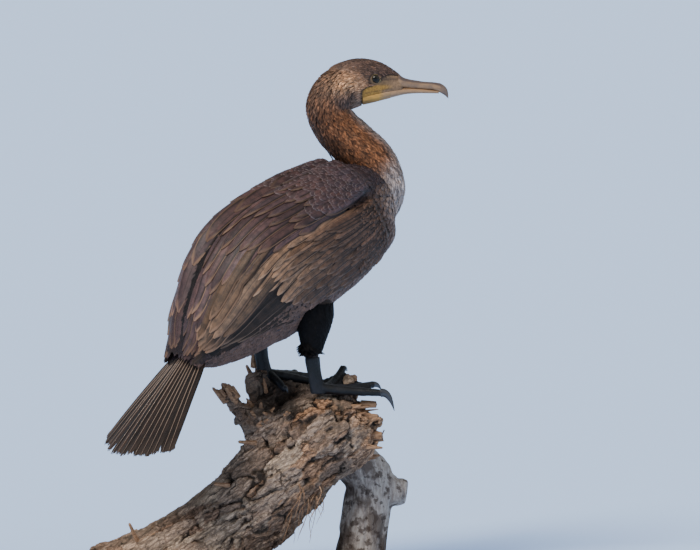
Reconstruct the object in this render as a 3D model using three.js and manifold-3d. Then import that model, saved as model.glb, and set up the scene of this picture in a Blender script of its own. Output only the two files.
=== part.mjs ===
// A young great cormorant, standing on the broken end of a dead branch, as a life-size museum model.
// Millimetres, +Z up. The bird's body heads along +X, its left side is +Y. The origin is on the floor,
// at the centre of the underside of the display base.
import * as THREE from "three";
import { mergeVertices } from "three/addons/utils/BufferGeometryUtils.js";
import Module from "manifold-3d";

const wasm = await Module();
wasm.setup();

const { degToRad: rad, clamp, lerp } = THREE.MathUtils;

// Driving sizes.
const GAP = 0.3; // between nodes that meet
const BASE = { long: 450, deep: 240, thick: 18, corner: 26, edge: 2.5 };
const SOLE_HEIGHT = 246; // the right sole above the floor
const BRANCH_TURN = -35; // degrees that the branch and the base are turned about +Z from the body
const BASE_BACK = 72; // the base's centre behind the feet, along the branch
const WOOD_FOOT = 8; // the wood's sawn feet above the base
const ROD_RADIUS = 6;
const WING_DEPTH = 13; // all the layers of a folded wing together

// The body from the root of the neck to the root of the tail, and two stations on, which only the
// wing tips use. Each has its centre, half its width, and its reach above and below the centre.
const BODY = [
  { x: 146, z: 275, wide: 3, up: 3, down: 3 },
  { x: 135, z: 268, wide: 34, up: 34, down: 35 },
  { x: 114, z: 258, wide: 50, up: 55, down: 62 },
  { x: 92, z: 245, wide: 56, up: 66, down: 76 },
  { x: 48, z: 225, wide: 61, up: 72, down: 86 },
  { x: -6, z: 200, wide: 64, up: 77, down: 93 },
  { x: -61, z: 171, wide: 65, up: 80, down: 98 },
  { x: -97, z: 141, wide: 63, up: 75, down: 89 },
  { x: -131, z: 106, wide: 56, up: 60, down: 66 },
  { x: -162, z: 76, wide: 46, up: 39, down: 40 },
  { x: -182, z: 60, wide: 36, up: 24, down: 22 },
  { x: -204, z: 36, wide: 31, up: 18, down: 15 },
  { x: -224, z: 8, wide: 26, up: 14, down: 12 },
];
const BODY_END = 10; // the last station that the torso reaches
const SQUARENESS = 2.25; // of the body's sections: 2 is an ellipse

// The neck's S, from inside the breast to inside the head: centre and radius.
const NECK = [
  { x: 98, y: 0, z: 228, r: 36 },
  { x: 127, y: 0, z: 262, r: 36.5 },
  { x: 128, y: 1, z: 287, r: 35 },
  { x: 117, y: 3, z: 310, r: 33 },
  { x: 94, y: 7, z: 333, r: 31 },
  { x: 69, y: 11, z: 357, r: 30.5 },
  { x: 56, y: 12, z: 384, r: 31 },
  { x: 65, y: 6, z: 408, r: 28 },
  { x: 86, y: 0, z: 416, r: 23 },
];
const NECK_CUTS = [3.3, 5.2, 6.75]; // where the neck is divided, in stations

// The head, in its own frame: x ahead of the eyes, z above them. It looks to the bird's right.
const HEAD = { x: 113.5, y: -18.2, z: 422.6, turn: -35 };
const SKULL = [
  { x: -62, z: -9, wide: 4, up: 4, down: 4 },
  { x: -55, z: -9, wide: 18, up: 21, down: 22 },
  { x: -39, z: -8, wide: 24, up: 32, down: 34 },
  { x: -20, z: -5, wide: 23, up: 32.5, down: 32 },
  { x: 0, z: -5, wide: 19, up: 28, down: 27 },
  { x: 14, z: -7, wide: 15, up: 21, down: 20.5 },
  { x: 26, z: -10, wide: 12, up: 16, down: 14 },
  { x: 37, z: -12, wide: 10, up: 11.4, down: 9.5 },
];
const GAPE = { x: -17, z: -20 }; // the corner of the mouth
const UPPER_BILL = [
  { x: 37.3, z: -7.4, wide: 10, up: 6.8, down: 6.4 },
  { x: 48, z: -9.8, wide: 8.6, up: 5.6, down: 5 },
  { x: 62, z: -11, wide: 7.4, up: 4.4, down: 3.9 },
  { x: 76, z: -11.2, wide: 6.8, up: 4.1, down: 3.7 },
  { x: 86, z: -11.4, wide: 6.8, up: 4.2, down: 4 },
  { x: 93, z: -14, wide: 5.6, up: 4.8, down: 5.2 },
  { x: 97.5, z: -18.5, wide: 3.4, up: 4.4, down: 4.4 },
  { x: 99.2, z: -23.5, wide: 1, up: 1.4, down: 3 },
];
const LOWER_BILL = [
  { x: -17, z: -27, wide: 15.5, up: 7.2, down: 8.8 },
  { x: -4, z: -25, wide: 15, up: 7.2, down: 8 },
  { x: 12, z: -21.6, wide: 12.4, up: 6.6, down: 6.6 },
  { x: 26, z: -18.9, wide: 10.2, up: 5.2, down: 5 },
  { x: 44, z: -18.1, wide: 8, up: 2.9, down: 3 },
  { x: 64, z: -17, wide: 6.6, up: 1.9, down: 2 },
  { x: 80, z: -17, wide: 5.6, up: 1.7, down: 2.2 },
  { x: 88, z: -18.2, wide: 3.4, up: 1.2, down: 1.6 },
];
const POUCH_FRONT = 11; // where the yellow pouch gives way to horn
const EYE = { side: 13.2, radius: 7, lid: 6.4, lidThick: 1.5 };

// Legs, as seen on the right. The left one is its mirror, moved to its own heel.
const HEELS = { right: [0, -45, 9], left: [-24, 45, 23] };
const THIGH = [
  { x: -2, y: 2, z: 128, deep: 27, wide: 16 },
  { x: -5, y: 1, z: 100, deep: 25, wide: 18 },
  { x: -8, y: 0, z: 76, deep: 17.5, wide: 13.5 },
  { x: -9, y: 0, z: 57, deep: 11, wide: 9 },
  { x: -9, y: 0, z: 47, deep: 9, wide: 7 },
];
const SHANK = [
  { x: -9, y: 0, z: 46.5, deep: 9.8, wide: 5.8 },
  { x: -6, y: 0, z: 30, deep: 9, wide: 5.2 },
  { x: -2, y: 0, z: 14, deep: 9.2, wide: 5.6 },
  { x: 2, y: 0, z: 2, deep: 10.5, wide: 6.8 },
];
// Each toe's heading from straight ahead, outwards, its length, the fall to its tip, and its claw.
const TOES = {
  right: [
    { name: "outer", out: 35, long: 84, drop: 3, claw: 21, hook: 24 },
    { name: "middle", out: 8, long: 80, drop: -5, claw: 17, hook: 11 },
    { name: "inner", out: -22, long: 57, drop: -24, claw: 13, hook: 7 },
    { name: "hind", out: -62, long: 36, drop: -12, claw: 10, hook: 6 },
  ],
  left: [
    { name: "outer", out: 30, long: 84, drop: 4, claw: 19, hook: 14 },
    { name: "middle", out: 5, long: 80, drop: 6, claw: 17, hook: 12 },
    { name: "inner", out: -22, long: 57, drop: 8, claw: 13, hook: 9 },
    { name: "hind", out: -82, long: 34, drop: 17, claw: 9, hook: 8 },
  ],
};
const ANKLE = 17; // height of the ankle's division above the sole
const WEB = 1.5; // thickness of the skin between the toes

// The tail: a fan of feathers, the middle pair on top and longest.
const TAIL = {
  root: [-163, 0, 78], pitch: 51, count: 12, spread: 44, long: 196, outer: 174,
  half: 13.5, thick: 0.9, step: 1.6, rootHalf: 23, covered: 62,
};

// The layers of the folded right wing. Each layer has its own band of heights above the body's skin, and
// holds plates that its feathers grow from and rows of feathers. Places are [station of the body, degrees
// from the back's ridge], and the lines of places run from one end of a row to the other.
const SKIN_GAP = 0.9;
const VANE = 0.5; // thickness of a feather
const WING = {
  primaries: {
    plates: [{ front: [[6.2, 84], [6.2, 118]], rear: [[7.2, 84], [7.0, 114]], low: 1.3, high: 4, cells: [2, 1] }],
    rows: [{
      count: 4, half: 7.4, height: 2.9, tilt: 1.3,
      root: [[6.9, 90], [6.8, 110]], tip: [[11.2, 60], [10.9, 80], [10.0, 104]],
    }],
  },
  secondaries: {
    plates: [
      { front: [[5.2, 34], [5.2, 122]], rear: [[6.3, 36], [6.2, 80], [5.9, 118]], low: 4.4, high: 6.8, cells: [6, 1] },
    ],
    rows: [
      {
        count: 5, half: 9.6, height: 5.6, tilt: 0.95,
        root: [[5.9, 84], [5.6, 116]], tip: [[9.1, 82], [8.6, 94], [7.0, 122]],
      },
      {
        count: 3, half: 12.5, height: 5.6, tilt: 0.95,
        root: [[6.0, 42], [6.0, 74]], tip: [[9.2, 38], [9.6, 54], [9.5, 70]],
      },
    ],
  },
  coverts: {
    plates: [
      {
        front: [[2.95, 76], [2.9, 112], [3.4, 130]], rear: [[6.4, 78], [5.6, 100], [4.2, 128]],
        low: 7.8, high: 9.8, solidTo: 4.3, cells: [5, 6],
      },
      {
        front: [[3.0, 79], [2.95, 110], [3.4, 124]], rear: [[5.1, 80], [4.5, 100], [3.75, 122]],
        low: 8.6, high: 12.1, cells: [4, 2],
      },
    ],
    rows: [
      {
        count: 6, half: 10.6, height: 8.9, tilt: 0.95, cells: 3,
        root: [[6.0, 84], [5.2, 101], [4.0, 122]], tip: [[7.3, 85], [6.6, 103], [4.9, 128]],
      },
      {
        count: 5, half: 11, height: 11.3, tilt: 0.95, cells: 3,
        root: [[4.8, 84], [4.2, 99], [3.6, 118]], tip: [[6.2, 85], [5.5, 102], [4.4, 124]],
      },
    ],
  },
  scapulars: {
    plates: [
      {
        front: [[2.9, 14], [2.9, 71]], rear: [[6.0, 18], [6.4, 40], [6.1, 70]],
        low: 8, high: 9.9, solidTo: 4.2, cells: [5, 6],
      },
      {
        front: [[3.0, 18], [3.0, 66]], rear: [[4.9, 20], [5.1, 40], [4.9, 66]],
        low: 8.6, high: 12, cells: [4, 2],
      },
    ],
    rows: [
      {
        count: 4, half: 11, height: 9.2, tilt: 1, cells: 3,
        root: [[5.8, 26], [6.1, 40], [5.9, 61]], tip: [[8.1, 24], [8.3, 38], [7.6, 58]],
      },
      {
        count: 3, half: 14, height: 11.3, tilt: 0.95, cells: 3,
        root: [[4.6, 26], [4.8, 44], [4.6, 60]], tip: [[6.5, 24], [6.8, 42], [6.4, 60]],
      },
    ],
  },
};

// The branch, in the plane that it was broken across: x along it, y away from the viewer's side.
const LOG = [
  { x: -310, y: -5, z: -292, r: 66 },
  { x: -154, y: -3, z: -226, r: 66 },
  { x: -78, y: -2, z: -168, r: 65 },
  { x: -20, y: -4, z: -108, r: 66 },
  { x: 22, y: -5, z: -64, r: 60 },
];
const CROWN = { x: 30, y: -5, z: -58, long: 80, deep: 66, high: 58 };
const SAWN_END = { x: -286, slope: 27 }; // the branch's low end, sawn off square
const FORK = [
  { x: 66, y: 30, z: -88, r: 30 },
  { x: 96, y: 40, z: -124, r: 33 },
  { x: 92, y: 42, z: -160, r: 33 },
  { x: 82, y: 42, z: -232, r: 34 },
];
const STUB = [
  { x: 100, y: 40, z: -136, r: 25 },
  { x: 126, y: 42, z: -138, r: 21 },
  { x: 146, y: 42, z: -141, r: 17 },
];

const MATERIALS = {
  plumage: { color: 0x3a3131, roughness: 0.75 },
  neckPlumage: { color: 0x5b4334, roughness: 0.8 },
  headPlumage: { color: 0x6a5140, roughness: 0.8 },
  coverts: { color: 0x54443a, roughness: 0.7 },
  flight: { color: 0x3c3336, roughness: 0.6 },
  bill: { color: 0x9b8370, roughness: 0.45 },
  pouch: { color: 0xc7951f, roughness: 0.55 },
  eye: { color: 0x14110f, roughness: 0.08 },
  leg: { color: 0x1c1c21, roughness: 0.5 },
  claw: { color: 0x17161a, roughness: 0.35 },
  bark: { color: 0x6b5a4c, roughness: 0.95 },
  paleWood: { color: 0x98918a, roughness: 0.85 },
  stand: { color: 0x2b2623, roughness: 0.35 },
  rod: { color: 0x8c8d90, roughness: 0.3, metalness: 0.9 },
};

// A closed three.js geometry as a solid with its faces out.
function solid(geometry) {
  const bare = geometry.clone();
  bare.deleteAttribute("normal");
  bare.deleteAttribute("uv");
  const merged = mergeVertices(bare, 1e-3);
  const corners = [];
  for (let i = 0; i < merged.index.count; i += 3) {
    const [a, b, c] = [0, 1, 2].map((k) => merged.index.getX(i + k));
    if (a !== b && b !== c && c !== a) corners.push(a, b, c);
  }
  const build = () => new wasm.Manifold(new wasm.Mesh({
    numProp: 3, vertProperties: merged.attributes.position.array, triVerts: new Uint32Array(corners),
  }));
  const made = build();
  if (made.volume() > 0) return made;
  for (let i = 0; i < corners.length; i += 3) [corners[i], corners[i + 1]] = [corners[i + 1], corners[i]];
  return build();
}

const join = (pieces) => pieces.reduce((whole, piece) => whole.add(piece));
const cutBy = (whole, cutters) => cutters.reduce((rest, cutter) => rest.subtract(cutter), whole);
const largest = (whole) => whole.decompose().reduce((a, b) => (a.volume() > b.volume() ? a : b));

// A solid as a three.js geometry, optionally with left and right exchanged.
function geometryOf(made, mirrored = false) {
  const { numProp, vertProperties, triVerts } = made.getMesh();
  const places = new Float32Array((vertProperties.length / numProp) * 3);
  for (let i = 0; i < places.length / 3; i++) {
    places.set(vertProperties.subarray(i * numProp, i * numProp + 3), i * 3);
    if (mirrored) places[i * 3 + 1] *= -1;
  }
  const corners = new Uint32Array(triVerts);
  if (mirrored) for (let i = 0; i < corners.length; i += 3) {
    [corners[i], corners[i + 1]] = [corners[i + 1], corners[i]];
  }
  const geometry = new THREE.BufferGeometry();
  geometry.setAttribute("position", new THREE.BufferAttribute(places, 3));
  geometry.setIndex(new THREE.BufferAttribute(corners, 1));
  geometry.computeVertexNormals();
  return geometry;
}

function node(name, made, finish, mirrored = false) {
  const mesh = new THREE.Mesh(geometryOf(largest(made), mirrored), new THREE.MeshStandardMaterial(MATERIALS[finish]));
  mesh.name = name;
  return mesh;
}

// A smooth curve through the values that the stations hold under one key.
function along(stations, key, t) {
  const last = stations.length - 1;
  const place = clamp(t, 0, last);
  const i = Math.min(Math.floor(place), last - 1);
  const f = place - i;
  const [a, b, c, d] = [-1, 0, 1, 2].map((k) => stations[clamp(i + k, 0, last)][key]);
  return 0.5 * (2 * b + (c - a) * f + (2 * a - 5 * b + 4 * c - d) * f * f + (3 * b - 3 * c + d - a) * f * f * f);
}

const power = (value, exponent) => Math.sign(value) * Math.abs(value) ** exponent;

// A closed loft: a cylinder whose every point is moved to place(t, angle, radius), with t from 0 to 1.
function loft(around, lengthwise, place) {
  const geometry = new THREE.CylinderGeometry(1, 1, 1, around, lengthwise);
  const points = geometry.attributes.position;
  const point = new THREE.Vector3();
  for (let i = 0; i < points.count; i++) {
    point.fromBufferAttribute(points, i);
    const radius = Math.hypot(point.x, point.z);
    points.setXYZ(i, ...place(0.5 - point.y, radius > 0.5 ? Math.atan2(point.x, point.z) : 0, radius));
  }
  return solid(geometry);
}

// A closed slab: a plane's grid, once under and once over, with a rim. point(a, b, side) has a from -1 to 1
// across, b from 0 to 1 along, and side 0 under and 1 over. Both faces are split into triangles alike.
function slab(across, lengthwise, point) {
  const plane = new THREE.PlaneGeometry(2, 1, across, lengthwise);
  const grid = plane.attributes.position;
  const places = [];
  for (const side of [1, 0]) for (let i = 0; i < grid.count; i++) {
    places.push(...point(grid.getX(i), 0.5 - grid.getY(i), side));
  }
  const corners = [...plane.index.array];
  for (let i = 0, end = corners.length; i < end; i += 3) {
    corners.push(corners[i] + grid.count, corners[i + 2] + grid.count, corners[i + 1] + grid.count);
  }
  const row = across + 1;
  const rim = [];
  for (let i = 0; i < across; i++) rim.push(i);
  for (let j = 0; j < lengthwise; j++) rim.push(j * row + across);
  for (let i = across; i > 0; i--) rim.push(lengthwise * row + i);
  for (let j = lengthwise; j > 0; j--) rim.push(j * row);
  rim.forEach((p, k) => {
    const q = rim[(k + 1) % rim.length];
    corners.push(p, q, q + grid.count, p, q + grid.count, p + grid.count);
  });
  const geometry = new THREE.BufferGeometry();
  geometry.setAttribute("position", new THREE.Float32BufferAttribute(places, 3));
  geometry.setIndex(corners);
  return solid(geometry);
}

// A point of the body's skin, or lifted off it. Angle 0 is the back's ridge, and positive turns to the right side.
function bodyPoint(t, angle, lift = 0) {
  const step = 0.05;
  const back = new THREE.Vector2(
    along(BODY, "x", t + step) - along(BODY, "x", t - step),
    along(BODY, "z", t + step) - along(BODY, "z", t - step),
  ).normalize();
  const side = along(BODY, "wide", t) * power(Math.sin(angle), 2 / SQUARENESS);
  const rise = along(BODY, Math.cos(angle) > 0 ? "up" : "down", t) * power(Math.cos(angle), 2 / SQUARENESS);
  const grown = 1 + lift / Math.hypot(side, rise);
  return new THREE.Vector3(
    along(BODY, "x", t) + back.y * rise * grown,
    -side * grown,
    along(BODY, "z", t) - back.x * rise * grown,
  );
}

// A torso a little larger all over by grow.
function torsoSolid(grow = 0) {
  return loft(24, 15, (f, angle, radius) => {
    const t = f * BODY_END;
    const skin = bodyPoint(t, angle, grow);
    if (radius > 0.5) return skin.toArray();
    return [along(BODY, "x", t), 0, along(BODY, "z", t)];
  });
}

// A tube of changing radius along stations that hold x, y, z and r, from station t0 to t1.
function tube(stations, t0, t1, around, lengthwise, grow = 0, shape = () => 1) {
  const centre = (t) => new THREE.Vector3(...["x", "y", "z"].map((key) => along(stations, key, t)));
  return loft(around, lengthwise, (f, angle, radius) => {
    const t = lerp(t0, t1, f);
    const ahead = centre(t + 0.05).sub(centre(t - 0.05)).normalize();
    const side = new THREE.Vector3(0, 1, 0).cross(ahead).cross(ahead).normalize();
    const rise = side.clone().cross(ahead);
    const reach = radius > 0.5 ? (along(stations, "r", t) + grow) * shape(t, angle) : 0;
    return centre(t).addScaledVector(side, reach * Math.sin(angle))
      .addScaledVector(rise, reach * Math.cos(angle)).toArray();
  });
}

// Upright sections across stations that hold x, z, wide, up and down, as the head and bill have.
function crossLoft(stations, around, lengthwise, grow = 0, squareness = 2) {
  return loft(around, lengthwise, (f, angle, radius) => {
    const t = f * (stations.length - 1);
    const end = f === 0 ? -grow : f === 1 ? grow : 0;
    const inside = radius > 0.5 ? 1 : 0;
    const reach = along(stations, Math.cos(angle) > 0 ? "up" : "down", t) + grow;
    return [
      along(stations, "x", t) + end,
      -inside * (along(stations, "wide", t) + grow) * power(Math.sin(angle), 2 / squareness),
      along(stations, "z", t) + inside * reach * power(Math.cos(angle), 2 / squareness),
    ];
  });
}

// A line of [station, degrees] corners, read at a share from its first to its last.
function atShare(line, share) {
  const place = clamp(share, 0, 1) * (line.length - 1);
  const i = Math.min(Math.floor(place), line.length - 2);
  return [0, 1].map((k) => lerp(line[i][k], line[i + 1][k], place - i));
}

// A plate on the folded wing between a front and a rear line, each from the back down to the belly.
// Its heights are off the body's skin, and it fills down to the skin ahead of the station solidTo.
function plate({ front, rear, low, high, solidTo = 0, cells = [8, 8] }) {
  return slab(...cells, (across, f, side) => {
    const share = 0.5 + 0.5 * across;
    const [from, to] = [atShare(front, share), atShare(rear, share)];
    const t = lerp(from[0], to[0], f);
    const base = t < solidTo ? SKIN_GAP : low;
    const top = solidTo && f === 0 ? lerp(low, high, 0.3) : high;
    return bodyPoint(t, rad(lerp(from[1], to[1], f)), side ? top : base).toArray();
  });
}

// One feather of the folded wing as a thin slab that follows the body's curve from its root to its tip.
// tilt lifts its lower edge over its neighbour's upper one, and keel raises the line of its shaft.
function feather({ from, to, half, height, tilt, keel = 0.1, cells = 4 }) {
  const [t0, a0, t1, a1] = [from[0], rad(from[1]), to[0], rad(to[1])];
  const small = 0.02;
  return slab(2, cells, (across, f, side) => {
    const b = 1 - (1 - f) ** 1.35;
    const [t, angle] = [lerp(t0, t1, b), lerp(a0, a1, b)];
    const here = bodyPoint(t, angle, height);
    const byT = bodyPoint(t + small, angle, height).sub(here).divideScalar(small);
    const byAngle = bodyPoint(t, angle + small, height).sub(here).divideScalar(small);
    const lengthwise = byT.clone().multiplyScalar(t1 - t0).addScaledVector(byAngle, a1 - a0).normalize();
    const outwards = byT.clone().cross(byAngle).normalize();
    const downwards = outwards.cross(lengthwise).multiplyScalar(half * featherWidth(b) * across);
    if (downwards.dot(byAngle) * across < 0) downwards.negate();
    const [tt, ta, aa] = [byT.dot(byT), byT.dot(byAngle), byAngle.dot(byAngle)];
    const [dt, da] = [downwards.dot(byT), downwards.dot(byAngle)];
    const area = tt * aa - ta * ta;
    const lift = height + tilt * across + keel * (1 - Math.abs(across)) + side * VANE;
    return bodyPoint(t + (dt * aa - da * ta) / area, angle + (da * tt - dt * ta) / area, lift).toArray();
  });
}

function rowOf({ count, root, tip, ...shape }) {
  return Array.from({ length: count }, (_, i) => {
    const share = i / (count - 1);
    return feather({ from: atShare(root, share), to: atShare(tip, share), ...shape });
  });
}

// The four layers of the right wing.
function wingLayers() {
  return Object.fromEntries(Object.entries(WING).map(([name, layer]) =>
    [name, join([...layer.plates.map(plate), ...layer.rows.flatMap(rowOf)])]));
}

// How wide a feather is along its length, from its root at 0 to its rounded tip at 1.
function featherWidth(b, blunt = 0.42) {
  const opening = Math.min(1, 0.55 + 1.5 * b);
  const from = 0.7;
  const closing = b < from ? 1 : Math.sqrt(1 - (1 - blunt * blunt) * ((b - from) / (1 - from)) ** 2);
  return opening * closing;
}

// The tail's fan. Every feather is a slab with a raised shaft, and they share one root.
function tailSolid() {
  const pitch = rad(TAIL.pitch);
  const down = new THREE.Vector3(-Math.cos(pitch), 0, -Math.sin(pitch));
  const over = new THREE.Vector3(-Math.sin(pitch), 0, Math.cos(pitch));
  const left = new THREE.Vector3(0, 1, 0);
  const root = new THREE.Vector3(...TAIL.root);
  const feathers = Array.from({ length: TAIL.count }, (_, i) => {
    const place = (i + 0.5 - TAIL.count / 2) / (TAIL.count / 2 - 0.5); // -1 at the right edge, 1 at the left
    const turn = rad(place * TAIL.spread * 0.5);
    const long = lerp(TAIL.long, TAIL.outer, place * place) + 3 * Math.sin(5 * i);
    const depth = -TAIL.step * Math.abs(i + 0.5 - TAIL.count / 2);
    const ahead = down.clone().multiplyScalar(Math.cos(turn)).addScaledVector(left, Math.sin(turn));
    const aside = left.clone().multiplyScalar(Math.cos(turn)).addScaledVector(down, -Math.sin(turn));
    return slab(2, 4, (across, f, side) => {
      const b = 1 - (1 - f) ** 1.3;
      const height = depth + side * TAIL.thick + 0.6 * (1 - Math.abs(across)) - 9 * place * place * b * 0.5;
      return root.clone().addScaledVector(left, place * TAIL.rootHalf).addScaledVector(ahead, long * b)
        .addScaledVector(aside, across * TAIL.half * (0.45 + 0.55 * Math.min(1, 2.2 * b)) * featherWidth(b, 0.5))
        .addScaledVector(over, height).toArray();
    });
  });
  const coverts = slab(4, 2, (across, f, side) => {
    const turn = rad(across * TAIL.spread * 0.5);
    const ahead = down.clone().multiplyScalar(Math.cos(turn)).addScaledVector(left, Math.sin(turn));
    const thin = 1 - 0.35 * f - 0.3 * across * across;
    return root.clone().addScaledVector(left, across * (TAIL.rootHalf + 3)).addScaledVector(ahead, TAIL.covered * f)
      .addScaledVector(over, side ? 6 * thin - 2 : -2 - 17 * thin).toArray();
  });
  return join([...feathers, coverts]);
}

// Moves a solid from the head's own frame into the bird's.
function fromHead(made) {
  const geometry = geometryOf(made);
  geometry.rotateZ(rad(HEAD.turn));
  geometry.translate(HEAD.x, HEAD.y, HEAD.z);
  return solid(geometry);
}

// The half of space that lies ahead of a station of the neck (side 1) or behind it (side -1).
function neckHalf(t, side) {
  const centre = (at) => new THREE.Vector3(...["x", "y", "z"].map((key) => along(NECK, key, at)));
  const ahead = centre(t + 0.05).sub(centre(t - 0.05)).normalize();
  const half = new THREE.BoxGeometry(400, 400, 400);
  half.translate(0, 0, side * (200 + GAP / 2));
  half.applyQuaternion(new THREE.Quaternion().setFromUnitVectors(new THREE.Vector3(0, 0, 1), ahead));
  half.translate(...centre(t).toArray());
  return solid(half);
}

const neckSolid = () => tube(NECK, 0, NECK.length - 1, 16, 14);

function ball(radius, x, y, z, around = 12, rows = 8, squash = [1, 1, 1]) {
  const geometry = new THREE.SphereGeometry(radius, around, rows);
  geometry.scale(...squash);
  geometry.translate(x, y, z);
  return solid(geometry);
}

function block(x0, x1, y0, y1, z0, z1) {
  const geometry = new THREE.BoxGeometry(x1 - x0, y1 - y0, z1 - z0);
  geometry.translate((x0 + x1) / 2, (y0 + y1) / 2, (z0 + z1) / 2);
  return solid(geometry);
}

function lidRing(side) {
  const ring = new THREE.TorusGeometry(EYE.lid, EYE.lidThick, 4, 12);
  ring.rotateX(Math.PI / 2);
  ring.scale(1.04, 1, 1);
  ring.translate(0, side * (EYE.side + 3.6), 0);
  return solid(ring);
}

function headNodes() {
  const far = 200;
  const lower = (grow) => crossLoft(LOWER_BILL, 12, 9, grow, 2.3);
  const skull = crossLoft(SKULL, 16, 10).add(lidRing(1)).add(lidRing(-1));
  const sockets = [1, -1].map((side) => ball(EYE.radius + GAP, 0, side * EYE.side, 0));
  const upper = crossLoft(UPPER_BILL, 12, 11, 0, 2.4);
  const head = fromHead(cutBy(skull, [...sockets, lower(GAP)])).intersect(neckHalf(NECK_CUTS[2], 1));
  const throat = neckSolid().intersect(neckHalf(NECK_CUTS[2], 1)).intersect(neckHalf(NECK_CUTS[1], 1));
  return {
    head: cutBy(head.add(throat), [fromHead(lower(GAP)), ...sockets.map(fromHead)]),
    upper_bill: fromHead(upper.subtract(lower(GAP))),
    lower_bill: fromHead(lower(0).intersect(block(POUCH_FRONT + GAP, far, -far, far, -far, far))),
    gular_pouch: fromHead(lower(0).intersect(block(-far, POUCH_FRONT, -far, far, -far, far))),
    eye_left: fromHead(ball(EYE.radius, 0, EYE.side, 0)),
    eye_right: fromHead(ball(EYE.radius, 0, -EYE.side, 0)),
  };
}

// A toe as stations from the heel to the root of its claw, for the right foot, heel at the origin.
function toePath(toe) {
  const turn = rad(-toe.out);
  return [0, 0.3, 0.6, 0.85, 1].map((f, i) => ({
    x: Math.cos(turn) * toe.long * f,
    y: Math.sin(turn) * toe.long * f,
    z: -toe.drop * f * f + [1, -1.5, -2.5, -2.5, -2.5][i],
    r: [5.6, 4.9, 4.5, 3.9, 3.2][i],
  }));
}

function toePoint(path, f) {
  const t = f * (path.length - 1);
  return new THREE.Vector3(...["x", "y", "z"].map((key) => along(path, key, t)));
}

function footSolid(toes, grow = 0) {
  const paths = toes.map(toePath);
  const bones = paths.map((path) => tube(path, 0, path.length - 1, 6, 4, grow));
  const webs = paths.slice(1).map((inner, i) => slab(2, 3, (across, f, side) => {
    const share = 0.5 + 0.5 * across;
    const reach = f * (0.97 - 0.2 * (1 - across * across));
    return toePoint(paths[i], reach).lerp(toePoint(inner, reach), share)
      .add(new THREE.Vector3(0, 0, (side - 0.5) * (WEB + 2 * grow) + 0.8 * (1 - across * across))).toArray();
  }));
  return join([...bones, ...webs, ball(7.4 + grow, 1, 0, 0, 8, 5, [1.2, 0.95, 1])]);
}

function clawSolid(toe, grow = 0) {
  const path = toePath(toe);
  const end = path[path.length - 1];
  const turn = rad(-toe.out);
  const hooked = [0, 0.45, 0.8, 1].map((f, i) => ({
    x: end.x + Math.cos(turn) * toe.claw * 0.62 * Math.sin(f * 1.45),
    y: end.y + Math.sin(turn) * toe.claw * 0.62 * Math.sin(f * 1.45),
    z: end.z + 1.2 - toe.hook * f ** 1.6,
    r: [3.1, 2.6, 1.5, 0.5][i],
  }));
  return tube(hooked, 0, 3, 6, 4, grow).subtract(tube(path, 0, path.length - 1, 6, 4, GAP));
}

function legLoft(stations, around, lengthwise, grow = 0) {
  return loft(around, lengthwise, (f, angle, radius) => {
    const t = f * (stations.length - 1);
    const inside = radius > 0.5 ? 1 : 0;
    return [
      along(stations, "x", t) + inside * (along(stations, "deep", t) + grow) * Math.cos(angle),
      along(stations, "y", t) + inside * (along(stations, "wide", t) + grow) * Math.sin(angle),
      along(stations, "z", t) + (f === 0 ? grow : f === 1 ? -grow : 0),
    ];
  });
}

function placed(made, [x, y, z], mirrored) {
  const geometry = geometryOf(made, mirrored);
  geometry.translate(x, y, z);
  return solid(geometry);
}

// The leg's pieces in the bird's frame. The ankle divides the foot from the shank at a level plane.
function legSolids(side) {
  const mirrored = side === "left";
  const [x, y, z] = HEELS[side];
  const toes = TOES[side];
  const drop = z - HEELS.right[2];
  const [up, high] = [[x, y, 0], [x, y, drop]];
  const thigh = THIGH.map((s, i) => ({ ...s, z: s.z + (i > 1 ? drop : 0) }));
  const below = block(-300, 300, -300, 300, -300, ANKLE);
  const above = block(-300, 300, -300, 300, ANKLE + GAP, 300);
  const foot = (grow) => {
    const ankle = placed(legLoft(SHANK, 8, 2, grow), [0, 0, 0], false).intersect(below);
    return ankle.add(placed(footSolid(toes, grow), [0, 0, HEELS.right[2]], false));
  };
  return {
    thigh: placed(legLoft(thigh, 14, 7), up, mirrored),
    shank: placed(legLoft(SHANK, 8, 4).intersect(above), high, mirrored),
    foot: placed(foot(0), high, mirrored),
    space: placed(foot(GAP).add(legLoft(SHANK, 8, 4, 3 * GAP)), high, mirrored),
    claws: toes.map((toe) => ({
      name: toe.name,
      made: placed(clawSolid(toe), [x, y, z], mirrored),
      space: placed(clawSolid(toe, GAP), [x, y, z], mirrored),
    })),
  };
}

// Wood, in the branch's own frame, where x runs along it and y away from the viewer.
function logSolid(grow = 0) {
  const uneven = (t, angle) => 1 + 0.035 * Math.sin(3 * angle + t) + 0.03 * Math.sin(7 * angle + 2.3 * t);
  const trunk = tube(LOG, 0, LOG.length - 1, 16, 7, grow, uneven);
  const crown = ball(1, 0, 0, 0, 14, 8);
  const crownShape = geometryOf(crown);
  crownShape.scale(CROWN.long + grow, CROWN.deep + grow, CROWN.high + grow);
  crownShape.translate(CROWN.x, CROWN.y, CROWN.z);
  return trunk.add(solid(crownShape));
}

function splinter(from, to, base, tipRadius, grow = 0) {
  return tube([{ x: from[0], y: from[1], z: from[2], r: base }, { x: to[0], y: to[1], z: to[2], r: tipRadius }],
    0, 1, 6, 1, grow);
}

function brokenEnd(grow = 0) {
  return [
    splinter([-40, 18, -40], [-60, 24, 26], 24, 13, grow), // stump behind the far foot
    splinter([-50, -18, -62], [-98, -26, 2], 15, 8, grow), // splinter that stands up at the left
    splinter([70, -20, -34], [112, -24, -40], 15, 9, grow), // broken edge to the right
    splinter([70, 12, -60], [118, 10, -62], 12, 8, grow),
    splinter([64, 4, -40], [70, -2, 22], 16, 9, grow), // knob that the inner toe rests on
  ];
}

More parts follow.
